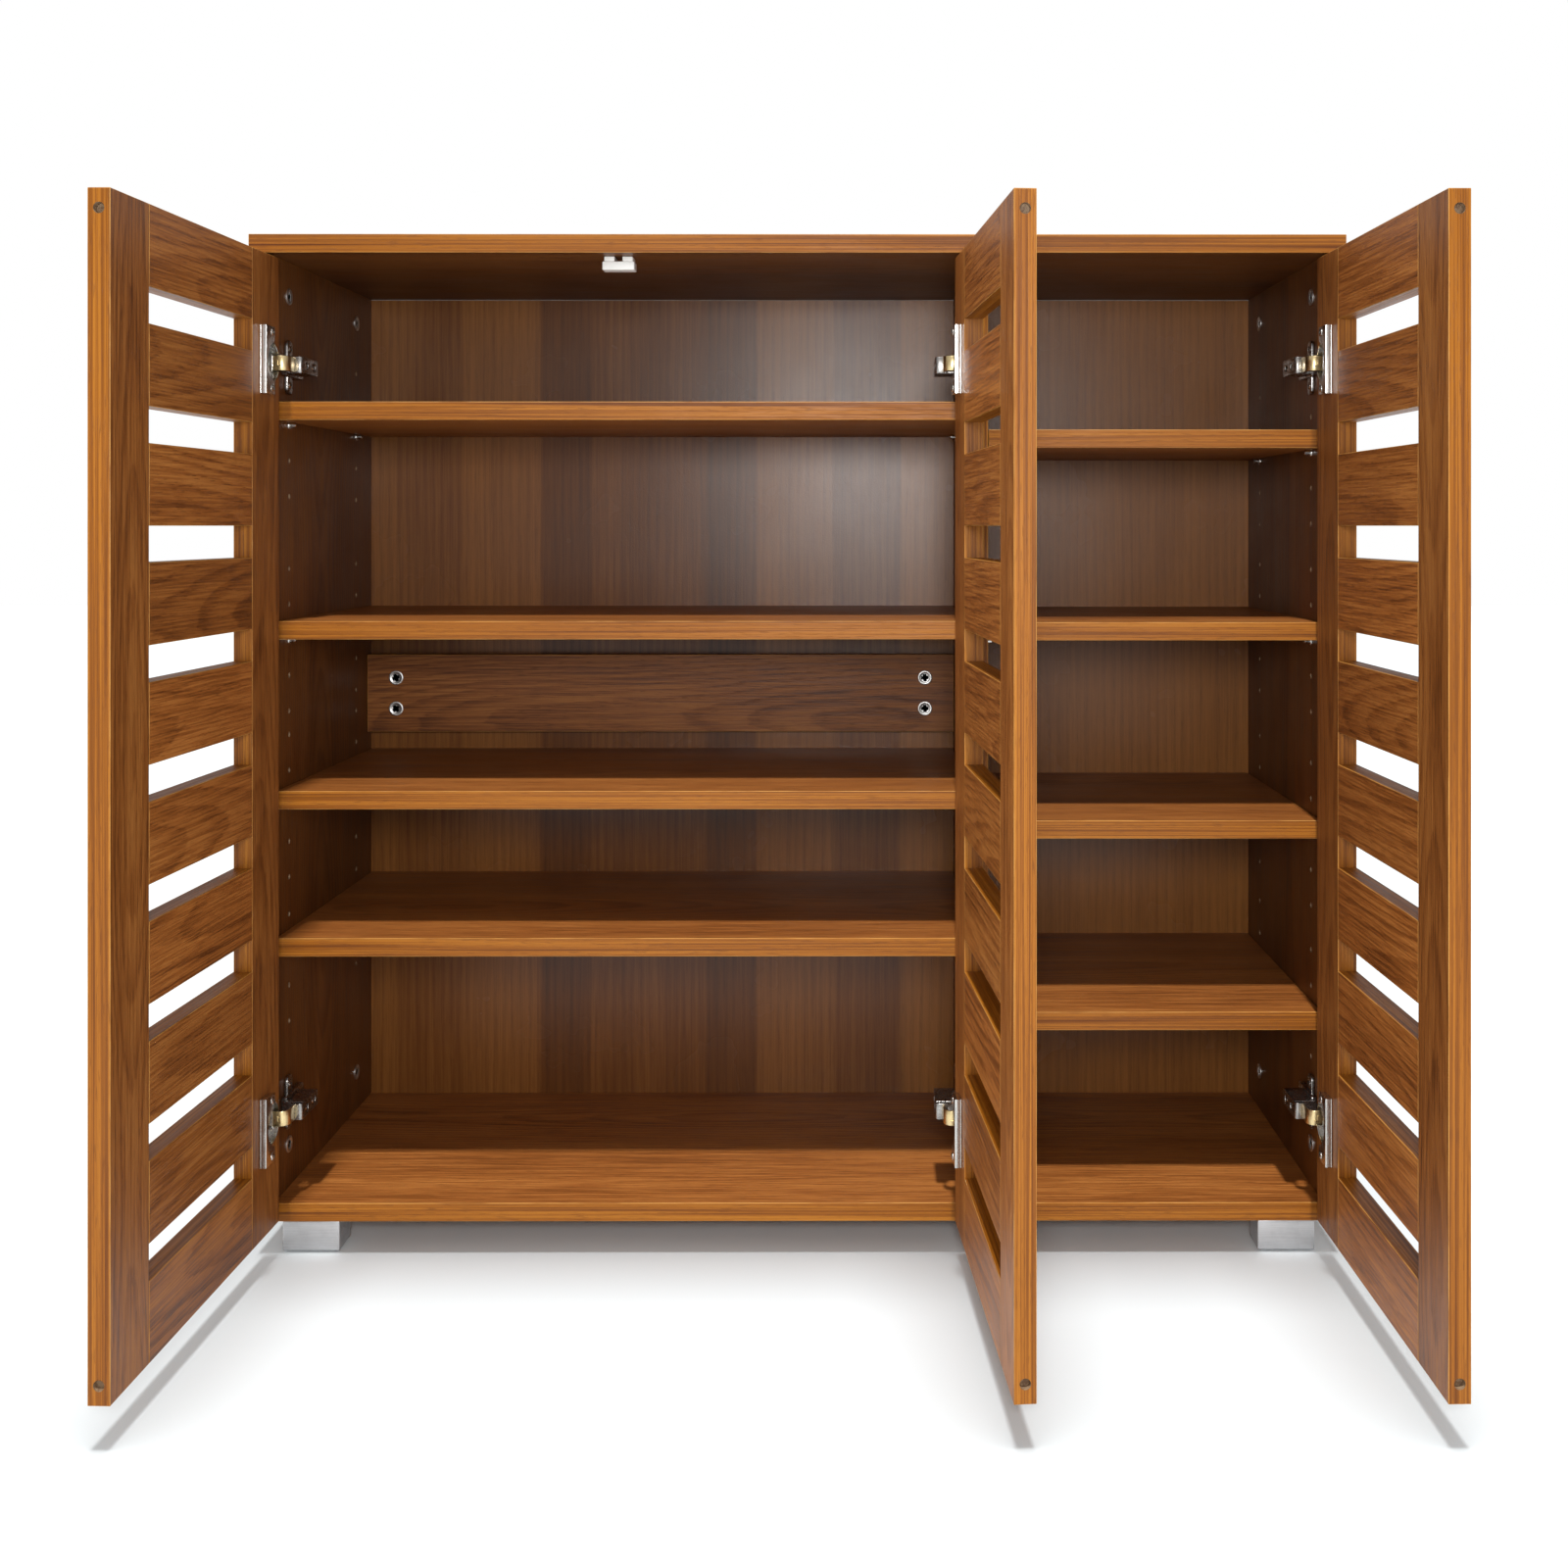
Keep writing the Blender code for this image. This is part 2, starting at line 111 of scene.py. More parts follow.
def hand_over(
    piece: bpy.types.Object, body: str, stands_for: Iterable[str] = ()
) -> bpy.types.Object:
    """Tie a finished piece to its body and the nodes it stands for.

    Args:
        piece: The finished piece.
        body: The body that carries it.
        stands_for: CAD nodes that the piece replaces.

    Returns:
        The same piece.
    """
    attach(piece, body)
    nodes = list(stands_for)
    if nodes:
        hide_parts(*nodes)
    log.info("%s: %d faces on %s", piece.name, len(piece.data.polygons), body)
    return piece


def smooth_shade(mesh: bpy.types.Mesh, sharp_degrees: float = 32.0) -> None:
    """Shade a mesh smooth, with edges sharper than an angle kept crisp."""
    mesh.shade_smooth()
    mesh.set_sharp_from_angle(angle=math.radians(sharp_degrees))


def mesh_from(work: bmesh.types.BMesh, name: str) -> bpy.types.Mesh:
    """Turn a bmesh into a mesh with outward faces, and free the bmesh."""
    bmesh.ops.recalc_face_normals(work, faces=work.faces)
    mesh = bpy.data.meshes.new(name)
    work.to_mesh(mesh)
    work.free()
    return mesh


def joined(meshes: Sequence[bpy.types.Mesh], name: str) -> bpy.types.Mesh:
    """Put several meshes of one material layout into one mesh.

    Args:
        meshes: Meshes that all have the same material list.
        name: Name of the result.

    Returns:
        One mesh with every part, and the first mesh's materials.
    """
    work = bmesh.new()
    for mesh in meshes:
        work.from_mesh(mesh)
    result = bpy.data.meshes.new(name)
    work.to_mesh(result)
    work.free()
    for material in meshes[0].materials:
        result.materials.append(material)
    return result


def eased_box(low: Vector, high: Vector, ease: float, segments: int = 2) -> bpy.types.Mesh:
    """A box with all its edges eased.

    Args:
        low: Lowest corner.
        high: Highest corner.
        ease: Width of the easing.
        segments: Facets across the easing.

    Returns:
        The mesh.
    """
    work = bmesh.new()
    size = high - low
    place = Matrix.Translation((low + high) / 2) @ Matrix.Diagonal((*size, 1))
    bmesh.ops.create_cube(work, size=1, matrix=place)
    bmesh.ops.bevel(
        work,
        geom=list(work.edges),
        offset=ease,
        segments=segments,
        profile=0.5,
        affect="EDGES",
        clamp_overlap=True,
    )
    return mesh_from(work, "eased_box")


def turned(profile: Outline, place: Matrix, steps: int = 40) -> bpy.types.Mesh:
    """A solid of revolution.

    Args:
        profile: Points (radius, height) from the axis to the axis.
        place: Where its axis (local Z) stands.
        steps: Facets round the axis.

    Returns:
        The mesh.
    """
    work = bmesh.new()
    points = [work.verts.new((radius, 0, height)) for radius, height in profile]
    edges = [work.edges.new(pair) for pair in zip(points, points[1:])]
    bmesh.ops.spin(
        work,
        geom=points + edges,
        cent=(0, 0, 0),
        axis=(0, 0, 1),
        angle=2 * math.pi,
        steps=steps,
        use_merge=True,
    )
    bmesh.ops.remove_doubles(work, verts=work.verts, dist=1e-6)
    bmesh.ops.transform(work, matrix=place, verts=work.verts)
    mesh = mesh_from(work, "turned")
    smooth_shade(mesh)
    return mesh


def plate(
    outline: Outline, holes: Sequence[Outline], thickness: float, ease: float, place: Matrix
) -> bpy.types.Mesh:
    """A flat stamped plate with rounded edges.

    Args:
        outline: Its outer outline in its own XY plane.
        holes: Outlines of its holes.
        thickness: Its thickness, centred on the plane.
        ease: Radius of its rounded edges.
        place: Where the plane stands.

    Returns:
        The mesh.
    """
    curve = bpy.data.curves.new("plate", "CURVE")
    curve.dimensions = "2D"
    curve.fill_mode = "BOTH"
    curve.extrude = thickness / 2 - ease
    curve.bevel_depth = ease
    curve.bevel_resolution = 1
    curve.offset = -ease
    for ring in (outline, *holes):
        spline = curve.splines.new("POLY")
        spline.points.add(len(ring) - 1)
        for point, (x, y) in zip(spline.points, ring):
            point.co = (x, y, 0, 1)
        spline.use_cyclic_u = True
    holder = bpy.data.objects.new("plate", curve)
    bpy.context.scene.collection.objects.link(holder)
    mesh = bpy.data.meshes.new_from_object(holder)
    bpy.data.objects.remove(holder)
    bpy.data.curves.remove(curve)
    work = bmesh.new()
    work.from_mesh(mesh)
    bmesh.ops.remove_doubles(work, verts=work.verts, dist=1e-6)
    bmesh.ops.transform(work, matrix=place, verts=work.verts)
    bpy.data.meshes.remove(mesh)
    result = mesh_from(work, "plate")
    smooth_shade(result)
    return result


def rounded(
    low: tuple[float, float], high: tuple[float, float], radius: float, steps: int = 5
) -> Outline:
    """Outline of a rectangle with rounded corners."""
    points: Outline = []
    corners = ((high[0], high[1]), (low[0], high[1]), (low[0], low[1]), (high[0], low[1]))
    for quarter, (x, y) in enumerate(corners):
        centre_x = x - radius if x == high[0] else x + radius
        centre_y = y - radius if y == high[1] else y + radius
        for step in range(steps + 1):
            turn = math.pi / 2 * (quarter + step / steps)
            points.append((centre_x + radius * math.cos(turn), centre_y + radius * math.sin(turn)))
    return points


def strip(path: Sequence[Vector], widths: Sequence[float], thickness: float) -> bpy.types.Mesh:
    """A strip of sheet metal bent along a path in XY, as wide along Z as the widths say.

    Args:
        path: Points on the middle of its thickness.
        widths: Width at each point.
        thickness: Thickness of the sheet.

    Returns:
        The mesh, with eased edges.
    """
    work = bmesh.new()
    rows = []
    for index, here in enumerate(path):
        before = path[max(index - 1, 0)]
        after = path[min(index + 1, len(path) - 1)]
        run = (after - before).normalized()
        normal = Vector((-run.y, run.x, 0)) * thickness / 2
        half = Vector((0, 0, widths[index] / 2))
        corners = (here + normal - half, here + normal + half, here - normal + half, here - normal - half)
        rows.append([work.verts.new(corner) for corner in corners])
    for first, second in zip(rows, rows[1:]):
        for side in range(4):
            follow = (side + 1) % 4
            work.faces.new((first[side], first[follow], second[follow], second[side]))
    work.faces.new(rows[0])
    work.faces.new(rows[-1][::-1])
    bmesh.ops.recalc_face_normals(work, faces=work.faces)
    long_edges = [
        edge for edge in work.edges if edge.is_manifold and edge.calc_face_angle(0) > math.radians(60)
    ]
    bmesh.ops.bevel(
        work, geom=long_edges, offset=thickness * 0.3, segments=2, profile=0.5, affect="EDGES"
    )
    mesh = mesh_from(work, "strip")
    smooth_shade(mesh)
    return mesh


def rounded_path(corners: Sequence[Vector], radii: Sequence[float], steps: int = 6) -> list[Vector]:
    """A path through corners with each inner corner rounded.

    Args:
        corners: The path's points.
        radii: Length cut back on each side of each inner corner.
        steps: Points on each rounded corner.

    Returns:
        The points of the rounded path.
    """
    points = [corners[0]]
    for before, corner, after, cut in zip(corners, corners[1:], corners[2:], radii):
        start = corner + (before - corner).normalized() * cut
        end = corner + (after - corner).normalized() * cut
        for step in range(steps + 1):
            share = step / steps
            points.append(
                start * (1 - share) ** 2 + corner * 2 * share * (1 - share) + end * share**2
            )
    points.append(corners[-1])
    return points


# ---------------------------------------------------------------------------
# Node trees
# ---------------------------------------------------------------------------

Input = Union[bpy.types.NodeSocket, float, Sequence[float]]


class Sheet:
    """A node tree being drawn: it adds nodes and joins them."""

    def __init__(self, tree: bpy.types.NodeTree) -> None:
        """Draw on a tree."""
        self.tree = tree
        self.inlet: bpy.types.Node | None = None

    @classmethod
    def group(
        cls, kind: str, name: str, inputs: dict[str, tuple[str, object]], outputs: dict[str, str]
    ) -> "Sheet":
        """Start a node group.

        Args:
            kind: ShaderNodeTree or GeometryNodeTree.
            name: The group's name.
            inputs: Socket kind and default value of each named input.
            outputs: Socket kind of each named output.

        Returns:
            A sheet on the new group.
        """
        tree = bpy.data.node_groups.new(name, kind)
        for label, (socket, value) in inputs.items():
            made = tree.interface.new_socket(label, in_out="INPUT", socket_type=f"NodeSocket{socket}")
            if value is not None:
                made.default_value = value
        for label, socket in outputs.items():
            tree.interface.new_socket(label, in_out="OUTPUT", socket_type=f"NodeSocket{socket}")
        sheet = cls(tree)
        sheet.inlet = tree.nodes.new("NodeGroupInput")
        return sheet

    def given(self, label: str) -> bpy.types.NodeSocket:
        """One of the group's inputs."""
        return self.inlet.outputs[label]

    def close(self, **results: bpy.types.NodeSocket) -> bpy.types.NodeTree:
        """Join the group's outputs, with spaces in names written as underscores."""
        outlet = self.tree.nodes.new("NodeGroupOutput")
        for label, result in results.items():
            self.tree.links.new(result, outlet.inputs[label.replace("_", " ")])
        return self.tree

    def put(self, value: Input, socket: bpy.types.NodeSocket) -> None:
        """Join a socket to an input, or set the input's own value."""
        if isinstance(value, bpy.types.NodeSocket):
            self.tree.links.new(value, socket)
        else:
            socket.default_value = value

    def add(self, kind: str, settings: dict[str, object] | None = None, **inputs: Input) -> bpy.types.Node:
        """Add a node.

        Args:
            kind: The node's type name.
            settings: Its properties.
            **inputs: Its inputs by name, with spaces written as underscores.

        Returns:
            The node.
        """
        node = self.tree.nodes.new(kind)
        for label, value in (settings or {}).items():
            setattr(node, label, value)
        for label, value in inputs.items():
            self.put(value, node.inputs[label.replace("_", " ")])
        return node

    def math(
        self, operation: str, first: Input, second: Input = 0.0, third: Input = 0.0
    ) -> bpy.types.NodeSocket:
        """A Math node."""
        node = self.tree.nodes.new("ShaderNodeMath")
        node.operation = operation
        for value, socket in zip((first, second, third), node.inputs):
            self.put(value, socket)
        return node.outputs[0]

    def vector_math(self, operation: str, first: Input, second: Input) -> bpy.types.NodeSocket:
        """A Vector Math node."""
        node = self.add("ShaderNodeVectorMath", {"operation": operation})
        self.put(first, node.inputs[0])
        self.put(second, node.inputs[1])
        return node.outputs[0]

    def combined(self, *parts: Input) -> bpy.types.NodeSocket:
        """A vector made of its three parts."""
        node = self.add("ShaderNodeCombineXYZ")
        for part, socket in zip(parts, node.inputs):
            self.put(part, socket)
        return node.outputs[0]

    def parted(self, vector: Input) -> bpy.types.bpy_prop_collection:
        """The three parts of a vector."""
        return self.add("ShaderNodeSeparateXYZ", Vector=vector).outputs

    def noise(
        self, vector: Input, factors: Sequence[float], detail: float = 2.0, roughness: float = 0.5
    ) -> bpy.types.NodeSocket:
        """Noise that is stretched along the axes, as a number from 0 to 1."""
        node = self.add(
            "ShaderNodeTexNoise",
            Vector=self.vector_math("MULTIPLY", vector, factors),
            Scale=1.0,
            Detail=detail,
            Roughness=roughness,
        )
        return node.outputs[0]

    def between(
        self, value: Input, low: float, high: float, start: float = 0.0, end: float = 1.0
    ) -> bpy.types.NodeSocket:
        """A value eased from start to end as it goes from low to high."""
        node = self.add(
            "ShaderNodeMapRange",
            {"interpolation_type": "SMOOTHSTEP"},
            Value=value,
            From_Min=low,
            From_Max=high,
            To_Min=start,
            To_Max=end,
        )
        return node.outputs[0]

    def mixed(
        self, factor: Input, first: Input, second: Input, blend: str = "MIX"
    ) -> bpy.types.NodeSocket:
        """Two colours mixed."""
        node = self.tree.nodes.new("ShaderNodeMix")
        node.data_type = "RGBA"
        node.blend_type = blend
        for value, index in ((factor, 0), (first, 6), (second, 7)):
            if not isinstance(value, (bpy.types.NodeSocket, float)):
                value = (*value, 1.0)
            self.put(value, node.inputs[index])
        return node.outputs[2]

    def swapped(self, factor: Input, first: Input, second: Input) -> bpy.types.NodeSocket:
        """Two vectors mixed."""
        node = self.add("ShaderNodeMix", {"data_type": "VECTOR"})
        for value, index in ((factor, 0), (first, 4), (second, 5)):
            self.put(value, node.inputs[index])
        return node.outputs[1]

    def ramp(self, value: Input, stops: Sequence[tuple[float, Colour]]) -> bpy.types.NodeSocket:
        """A colour ramp."""
        node = self.add("ShaderNodeValToRGB", Fac=value)
        elements = node.color_ramp.elements
        while len(elements) < len(stops):
            elements.new(0.5)
        for element, (position, colour) in zip(elements, stops):
            element.position = position
            element.color = (*colour, 1.0)
        return node.outputs[0]

    def named(self, label: str) -> bpy.types.Node:
        """A mesh attribute, read by a material."""
        return self.add("ShaderNodeAttribute", {"attribute_type": "GEOMETRY", "attribute_name": label})

    def stored(
        self, geometry: bpy.types.NodeSocket, label: str, value: Input, kind: str, domain: str
    ) -> bpy.types.NodeSocket:
        """Store a named attribute on a geometry."""
        node = self.add(
            "GeometryNodeStoreNamedAttribute", {"data_type": kind, "domain": domain}, Geometry=geometry
        )
        node.inputs["Name"].default_value = label
        self.put(value, node.inputs["Value"])
        return node.outputs[0]

    def read(self, label: str, kind: str = "FLOAT_VECTOR") -> bpy.types.NodeSocket:
        """Read a named attribute in a geometry tree."""
        node = self.add("GeometryNodeInputNamedAttribute", {"data_type": kind})
        node.inputs["Name"].default_value = label
        return node.outputs["Attribute"]

    def chance(self, kind: str, most: Input) -> bpy.types.NodeSocket:
        """A random value from nothing up to the most, by the group's seed."""
        vector = kind == "FLOAT_VECTOR"
        node = self.add("FunctionNodeRandomValue", {"data_type": kind})
        low, high, result = (0, 1, 0) if vector else (2, 3, 1)
        self.put((0.0, 0.0, 0.0) if vector else 0.0, node.inputs[low])
        self.put(most, node.inputs[high])
        self.put(self.given("Seed"), node.inputs["Seed"])
        return node.outputs[result]

    def placed(self, tree: bpy.types.NodeTree, **inputs: Input) -> bpy.types.Node:
        """A node group placed in this tree."""
        kind = "ShaderNodeGroup" if tree.bl_idname == "ShaderNodeTree" else "GeometryNodeGroup"
        return self.add(kind, {"node_tree": tree}, **inputs)


# ---------------------------------------------------------------------------
# Shared effects
# ---------------------------------------------------------------------------


def timber_figure() -> bpy.types.NodeTree:
    """Group: the growth rings, fibre, pores and broad tone of a sawn or printed board."""
    sheet = Sheet.group(
        "ShaderNodeTree",
        "timber_figure",
        {"Place": ("Vector", None), "Ring Spacing": ("Float", 0.006), "Waviness": ("Float", 1.0)},
        {"Figure": "Float", "Fibre": "Float", "Pores": "Float", "Tone": "Float"},
    )
    place, wave = sheet.given("Place"), sheet.given("Waviness")
    slow = sheet.math("SUBTRACT", sheet.noise(place, (1.3, 3.0, 3.0), 1.0), 0.5)
    sway = sheet.math("SUBTRACT", sheet.noise(place, (4.5, 16.0, 16.0), 2.0), 0.5)
    ripple = sheet.math("SUBTRACT", sheet.noise(place, (40.0, 230.0, 230.0), 2.0), 0.5)
    split = sheet.parted(place)
    across = sheet.math("MULTIPLY_ADD", sheet.math("MULTIPLY", sway, wave), 0.015, split[1])
    depth = sheet.math("ADD", sheet.math("MULTIPLY", sheet.math("MULTIPLY", slow, wave), 0.09), 0.030)
    depth = sheet.math("ADD", depth, split[2])
    square = sheet.math("MULTIPLY_ADD", across, across, sheet.math("MULTIPLY", depth, depth))
    distance = sheet.math("SQRT", square)
    distance = sheet.math("MULTIPLY_ADD", ripple, 0.0016, distance)
    turns = sheet.math("DIVIDE", distance, sheet.given("Ring Spacing"))
    saw = sheet.math("FRACT", turns)
    early = sheet.between(saw, 0.30, 0.88)
    late = sheet.between(saw, 0.90, 1.0)
    figure = sheet.math("SUBTRACT", early, late)
    fibre = sheet.between(sheet.noise(place, (14.0, 620.0, 620.0), 2.0, 0.6), 0.33, 0.67)
    flecks = sheet.noise(place, (70.0, 1500.0, 1500.0), 1.0, 0.5)
    early_share = sheet.math("MULTIPLY_ADD", figure, 0.5, 0.5)
    pores = sheet.math("MULTIPLY", sheet.between(flecks, 0.58, 0.66), early_share)
    tone = sheet.noise(place, (2.2, 30.0, 30.0), 2.0, 0.5)
    return sheet.close(Figure=figure, Fibre=fibre, Pores=pores, Tone=tone)


def orange_peel() -> bpy.types.NodeTree:
    """Group: the fine pebbled height of a pressed or moulded surface, and uneven gloss."""
    sheet = Sheet.group(
        "ShaderNodeTree",
        "orange_peel",
        {"Pebble Size": ("Float", 0.0015)},
        {"Height": "Float", "Gloss": "Float"},
    )
    coordinates = sheet.add("ShaderNodeTexCoord").outputs["Object"]
    size = sheet.given("Pebble Size")
    scaled = sheet.vector_math("DIVIDE", coordinates, sheet.combined(size, size, size))
    pebbles = sheet.noise(scaled, (1.0, 1.0, 1.0), 2.0, 0.6)
    hands = sheet.noise(coordinates, (9.0, 9.0, 9.0), 3.0, 0.6)
    return sheet.close(Height=pebbles, Gloss=sheet.between(hands, 0.35, 0.7))


def brushed_metal() -> bpy.types.NodeTree:
    """Group: fine brushing lines with smudges, for metal."""
    sheet = Sheet.group(
        "ShaderNodeTree",
        "brushed_metal",
        {"Lines X": ("Float", 60.0), "Lines Y": ("Float", 60.0), "Lines Z": ("Float", 1500.0)},
        {"Lines": "Float", "Smudge": "Float"},
    )
    coordinates = sheet.add("ShaderNodeTexCoord").outputs["Object"]
    rates = sheet.combined(*(sheet.given(f"Lines {axis}") for axis in "XYZ"))
    scaled = sheet.vector_math("MULTIPLY", coordinates, rates)
    lines = sheet.noise(scaled, (1.0, 1.0, 1.0), 2.0, 0.6)
    smudge = sheet.noise(coordinates, (70.0, 70.0, 70.0), 3.0, 0.6)
    return sheet.close(Lines=lines, Smudge=smudge)


# ---------------------------------------------------------------------------
# Finishes
# ---------------------------------------------------------------------------


class Effects:
    """The shared node groups, each built once."""

    def __init__(self) -> None:
        """Build every group."""
        self.timber = timber_figure()
        self.peel = orange_peel()
        self.brushing = brushed_metal()


def started(name: str) -> tuple[bpy.types.Material, Sheet, bpy.types.Node]:
    """Start a material.

    Args:
        name: The material's name.

    Returns:
        The material, a sheet on its nodes, and its shader.
    """
    material = bpy.data.materials.new(name)
    material.use_nodes = True
    sheet = Sheet(material.node_tree)
    shader = next(node for node in material.node_tree.nodes if node.type == "BSDF_PRINCIPLED")
    return material, sheet, shader


def timber_value(
    sheet: Sheet, timber: bpy.types.Node, base: Input, shares: Sequence[float]
) -> bpy.types.NodeSocket:
    """Where a board's colour stands on its ramp.

    Args:
        sheet: The material's sheet.
        timber: The placed timber figure.
        base: The value of a board with no figure.
        shares: How strongly the figure, the fibre and the tone move it.

    Returns:
        The value.
    """
    figure, fibre, _, tone = timber.outputs
    value = sheet.math("MULTIPLY_ADD", figure, shares[0], base)
    for part, share in ((fibre, shares[1]), (tone, shares[2])):
        value = sheet.math("MULTIPLY_ADD", sheet.math("SUBTRACT", part, 0.5), share, value)
    return value


@dataclass(frozen=True)
class BoardFinish:
    """Wood-grain laminate faces, straight-grained edge bands and thin pale arrises; the arrises' paleness is
    painted highlight.
    """

    name: str = "walnut_laminate"
    deep: Colour = (0.080, 0.022, 0.0050)
    middle: Colour = (0.260, 0.084, 0.0170)
    light: Colour = (0.430, 0.170, 0.0400)
    band_deep: Colour = (0.090, 0.022, 0.0015)
    band_middle: Colour = (0.235, 0.073, 0.0045)
    band_light: Colour = (0.370, 0.136, 0.0120)
    # Pale honey of the eased arrises: painted highlight along the board edges.
    arris: Colour = (0.460, 0.220, 0.0500)
    raw: Colour = (0.300, 0.200, 0.120)
    ring_spacing: float = 0.0038
    base: float = 0.57
    shares: tuple[float, float, float] = (-0.20, 0.42, 0.75)
    roughness: float = 0.41
    specular: float = 0.24
    bump_height: float = 0.00020

    def build(self, effects: Effects) -> bpy.types.Material:
        """Make the material."""
        material, sheet, shader = started(self.name)
        place = sheet.named("grain").outputs["Vector"]
        skin = sheet.parted(sheet.named("trim").outputs["Vector"])
        timber = sheet.placed(effects.timber, Place=place, Ring_Spacing=self.ring_spacing, Waviness=1.0)
        fibre, pores = timber.outputs["Fibre"], timber.outputs["Pores"]
        value = timber_value(sheet, timber, self.base, self.shares)
        face = sheet.ramp(value, ((0.0, self.deep), (0.48, self.middle), (1.0, self.light)))
        face = sheet.mixed(sheet.math("MULTIPLY", pores, 0.65), face, self.deep)
        parts = sheet.parted(place)
        along_edge = sheet.swapped(skin[2], place, sheet.combined(parts[1], parts[0], parts[2]))
        lines = sheet.between(sheet.noise(along_edge, (3.0, 760.0, 760.0), 2.0, 0.6), 0.34, 0.62)
        streaks = sheet.noise(along_edge, (2.0, 170.0, 170.0), 2.0, 0.6)
        pores = sheet.math("MULTIPLY", pores, sheet.math("SUBTRACT", 1.0, skin[2]))
        value = sheet.math("MULTIPLY_ADD", lines, 0.50, sheet.math("MULTIPLY_ADD", streaks, 1.1, -0.32))
        band = sheet.ramp(value, ((0.0, self.band_deep), (0.5, self.band_middle), (1.0, self.band_light)))
        band = sheet.mixed(sheet.math("MULTIPLY", pores, 0.45), band, self.band_deep)
        colour = sheet.mixed(sheet.math("GREATER_THAN", skin[0], 0.5), face, band)
        # Painted highlight: the arrises are coloured pale honey, broken up by noise.
        arris_highlight_breakup = sheet.between(sheet.noise(place, (25.0, 60.0, 60.0), 3.0), 0.35, 0.60, 0.35, 1.0)
        arris = sheet.math("MULTIPLY", sheet.math("GREATER_THAN", skin[0], 1.5), arris_highlight_breakup)
        colour = sheet.mixed(arris, colour, self.arris)
        chips = sheet.noise(place, (300.0, 300.0, 300.0), 3.0, 0.7)
        raw = sheet.mixed(sheet.between(chips, 0.4, 0.65), self.raw, (0.16, 0.09, 0.05))
        colour = sheet.mixed(sheet.math("GREATER_THAN", skin[0], 2.5), colour, raw)
        on_face = sheet.math("LESS_THAN", skin[0], 0.5)
        # The board's tone scales its laminate faces; on the walls, the top and the doors it is partly painted
        # shade and painted light.
        tone_and_painted_light = sheet.math("MULTIPLY_ADD", skin[1], 1.20, -0.60)
        tone_and_painted_light = sheet.math("MULTIPLY_ADD", tone_and_painted_light, on_face, 1.0)
        tint = sheet.add("ShaderNodeCombineColor", Red=tone_and_painted_light, Green=tone_and_painted_light, Blue=tone_and_painted_light).outputs[0]
        colour = sheet.mixed(1.0, colour, tint, "MULTIPLY")
        sheet.put(colour, shader.inputs["Base Color"])
        peel = sheet.placed(effects.peel, Pebble_Size=0.0011)
        rough = sheet.math("MULTIPLY_ADD", peel.outputs["Gloss"], 0.07, self.roughness)
        rough = sheet.math("MULTIPLY_ADD", fibre, 0.10, sheet.math("SUBTRACT", rough, 0.05))
        sheet.put(rough, shader.inputs["Roughness"])
        shader.inputs["Specular IOR Level"].default_value = self.specular
        height = sheet.math("MULTIPLY_ADD", pores, -0.8, sheet.math("MULTIPLY", peel.outputs["Height"], 0.9))
        height = sheet.math("MULTIPLY_ADD", fibre, 0.35, height)
        bump = sheet.add("ShaderNodeBump", Strength=0.4, Distance=self.bump_height, Height=height)
        sheet.put(bump.outputs[0], shader.inputs["Normal"])
        return material


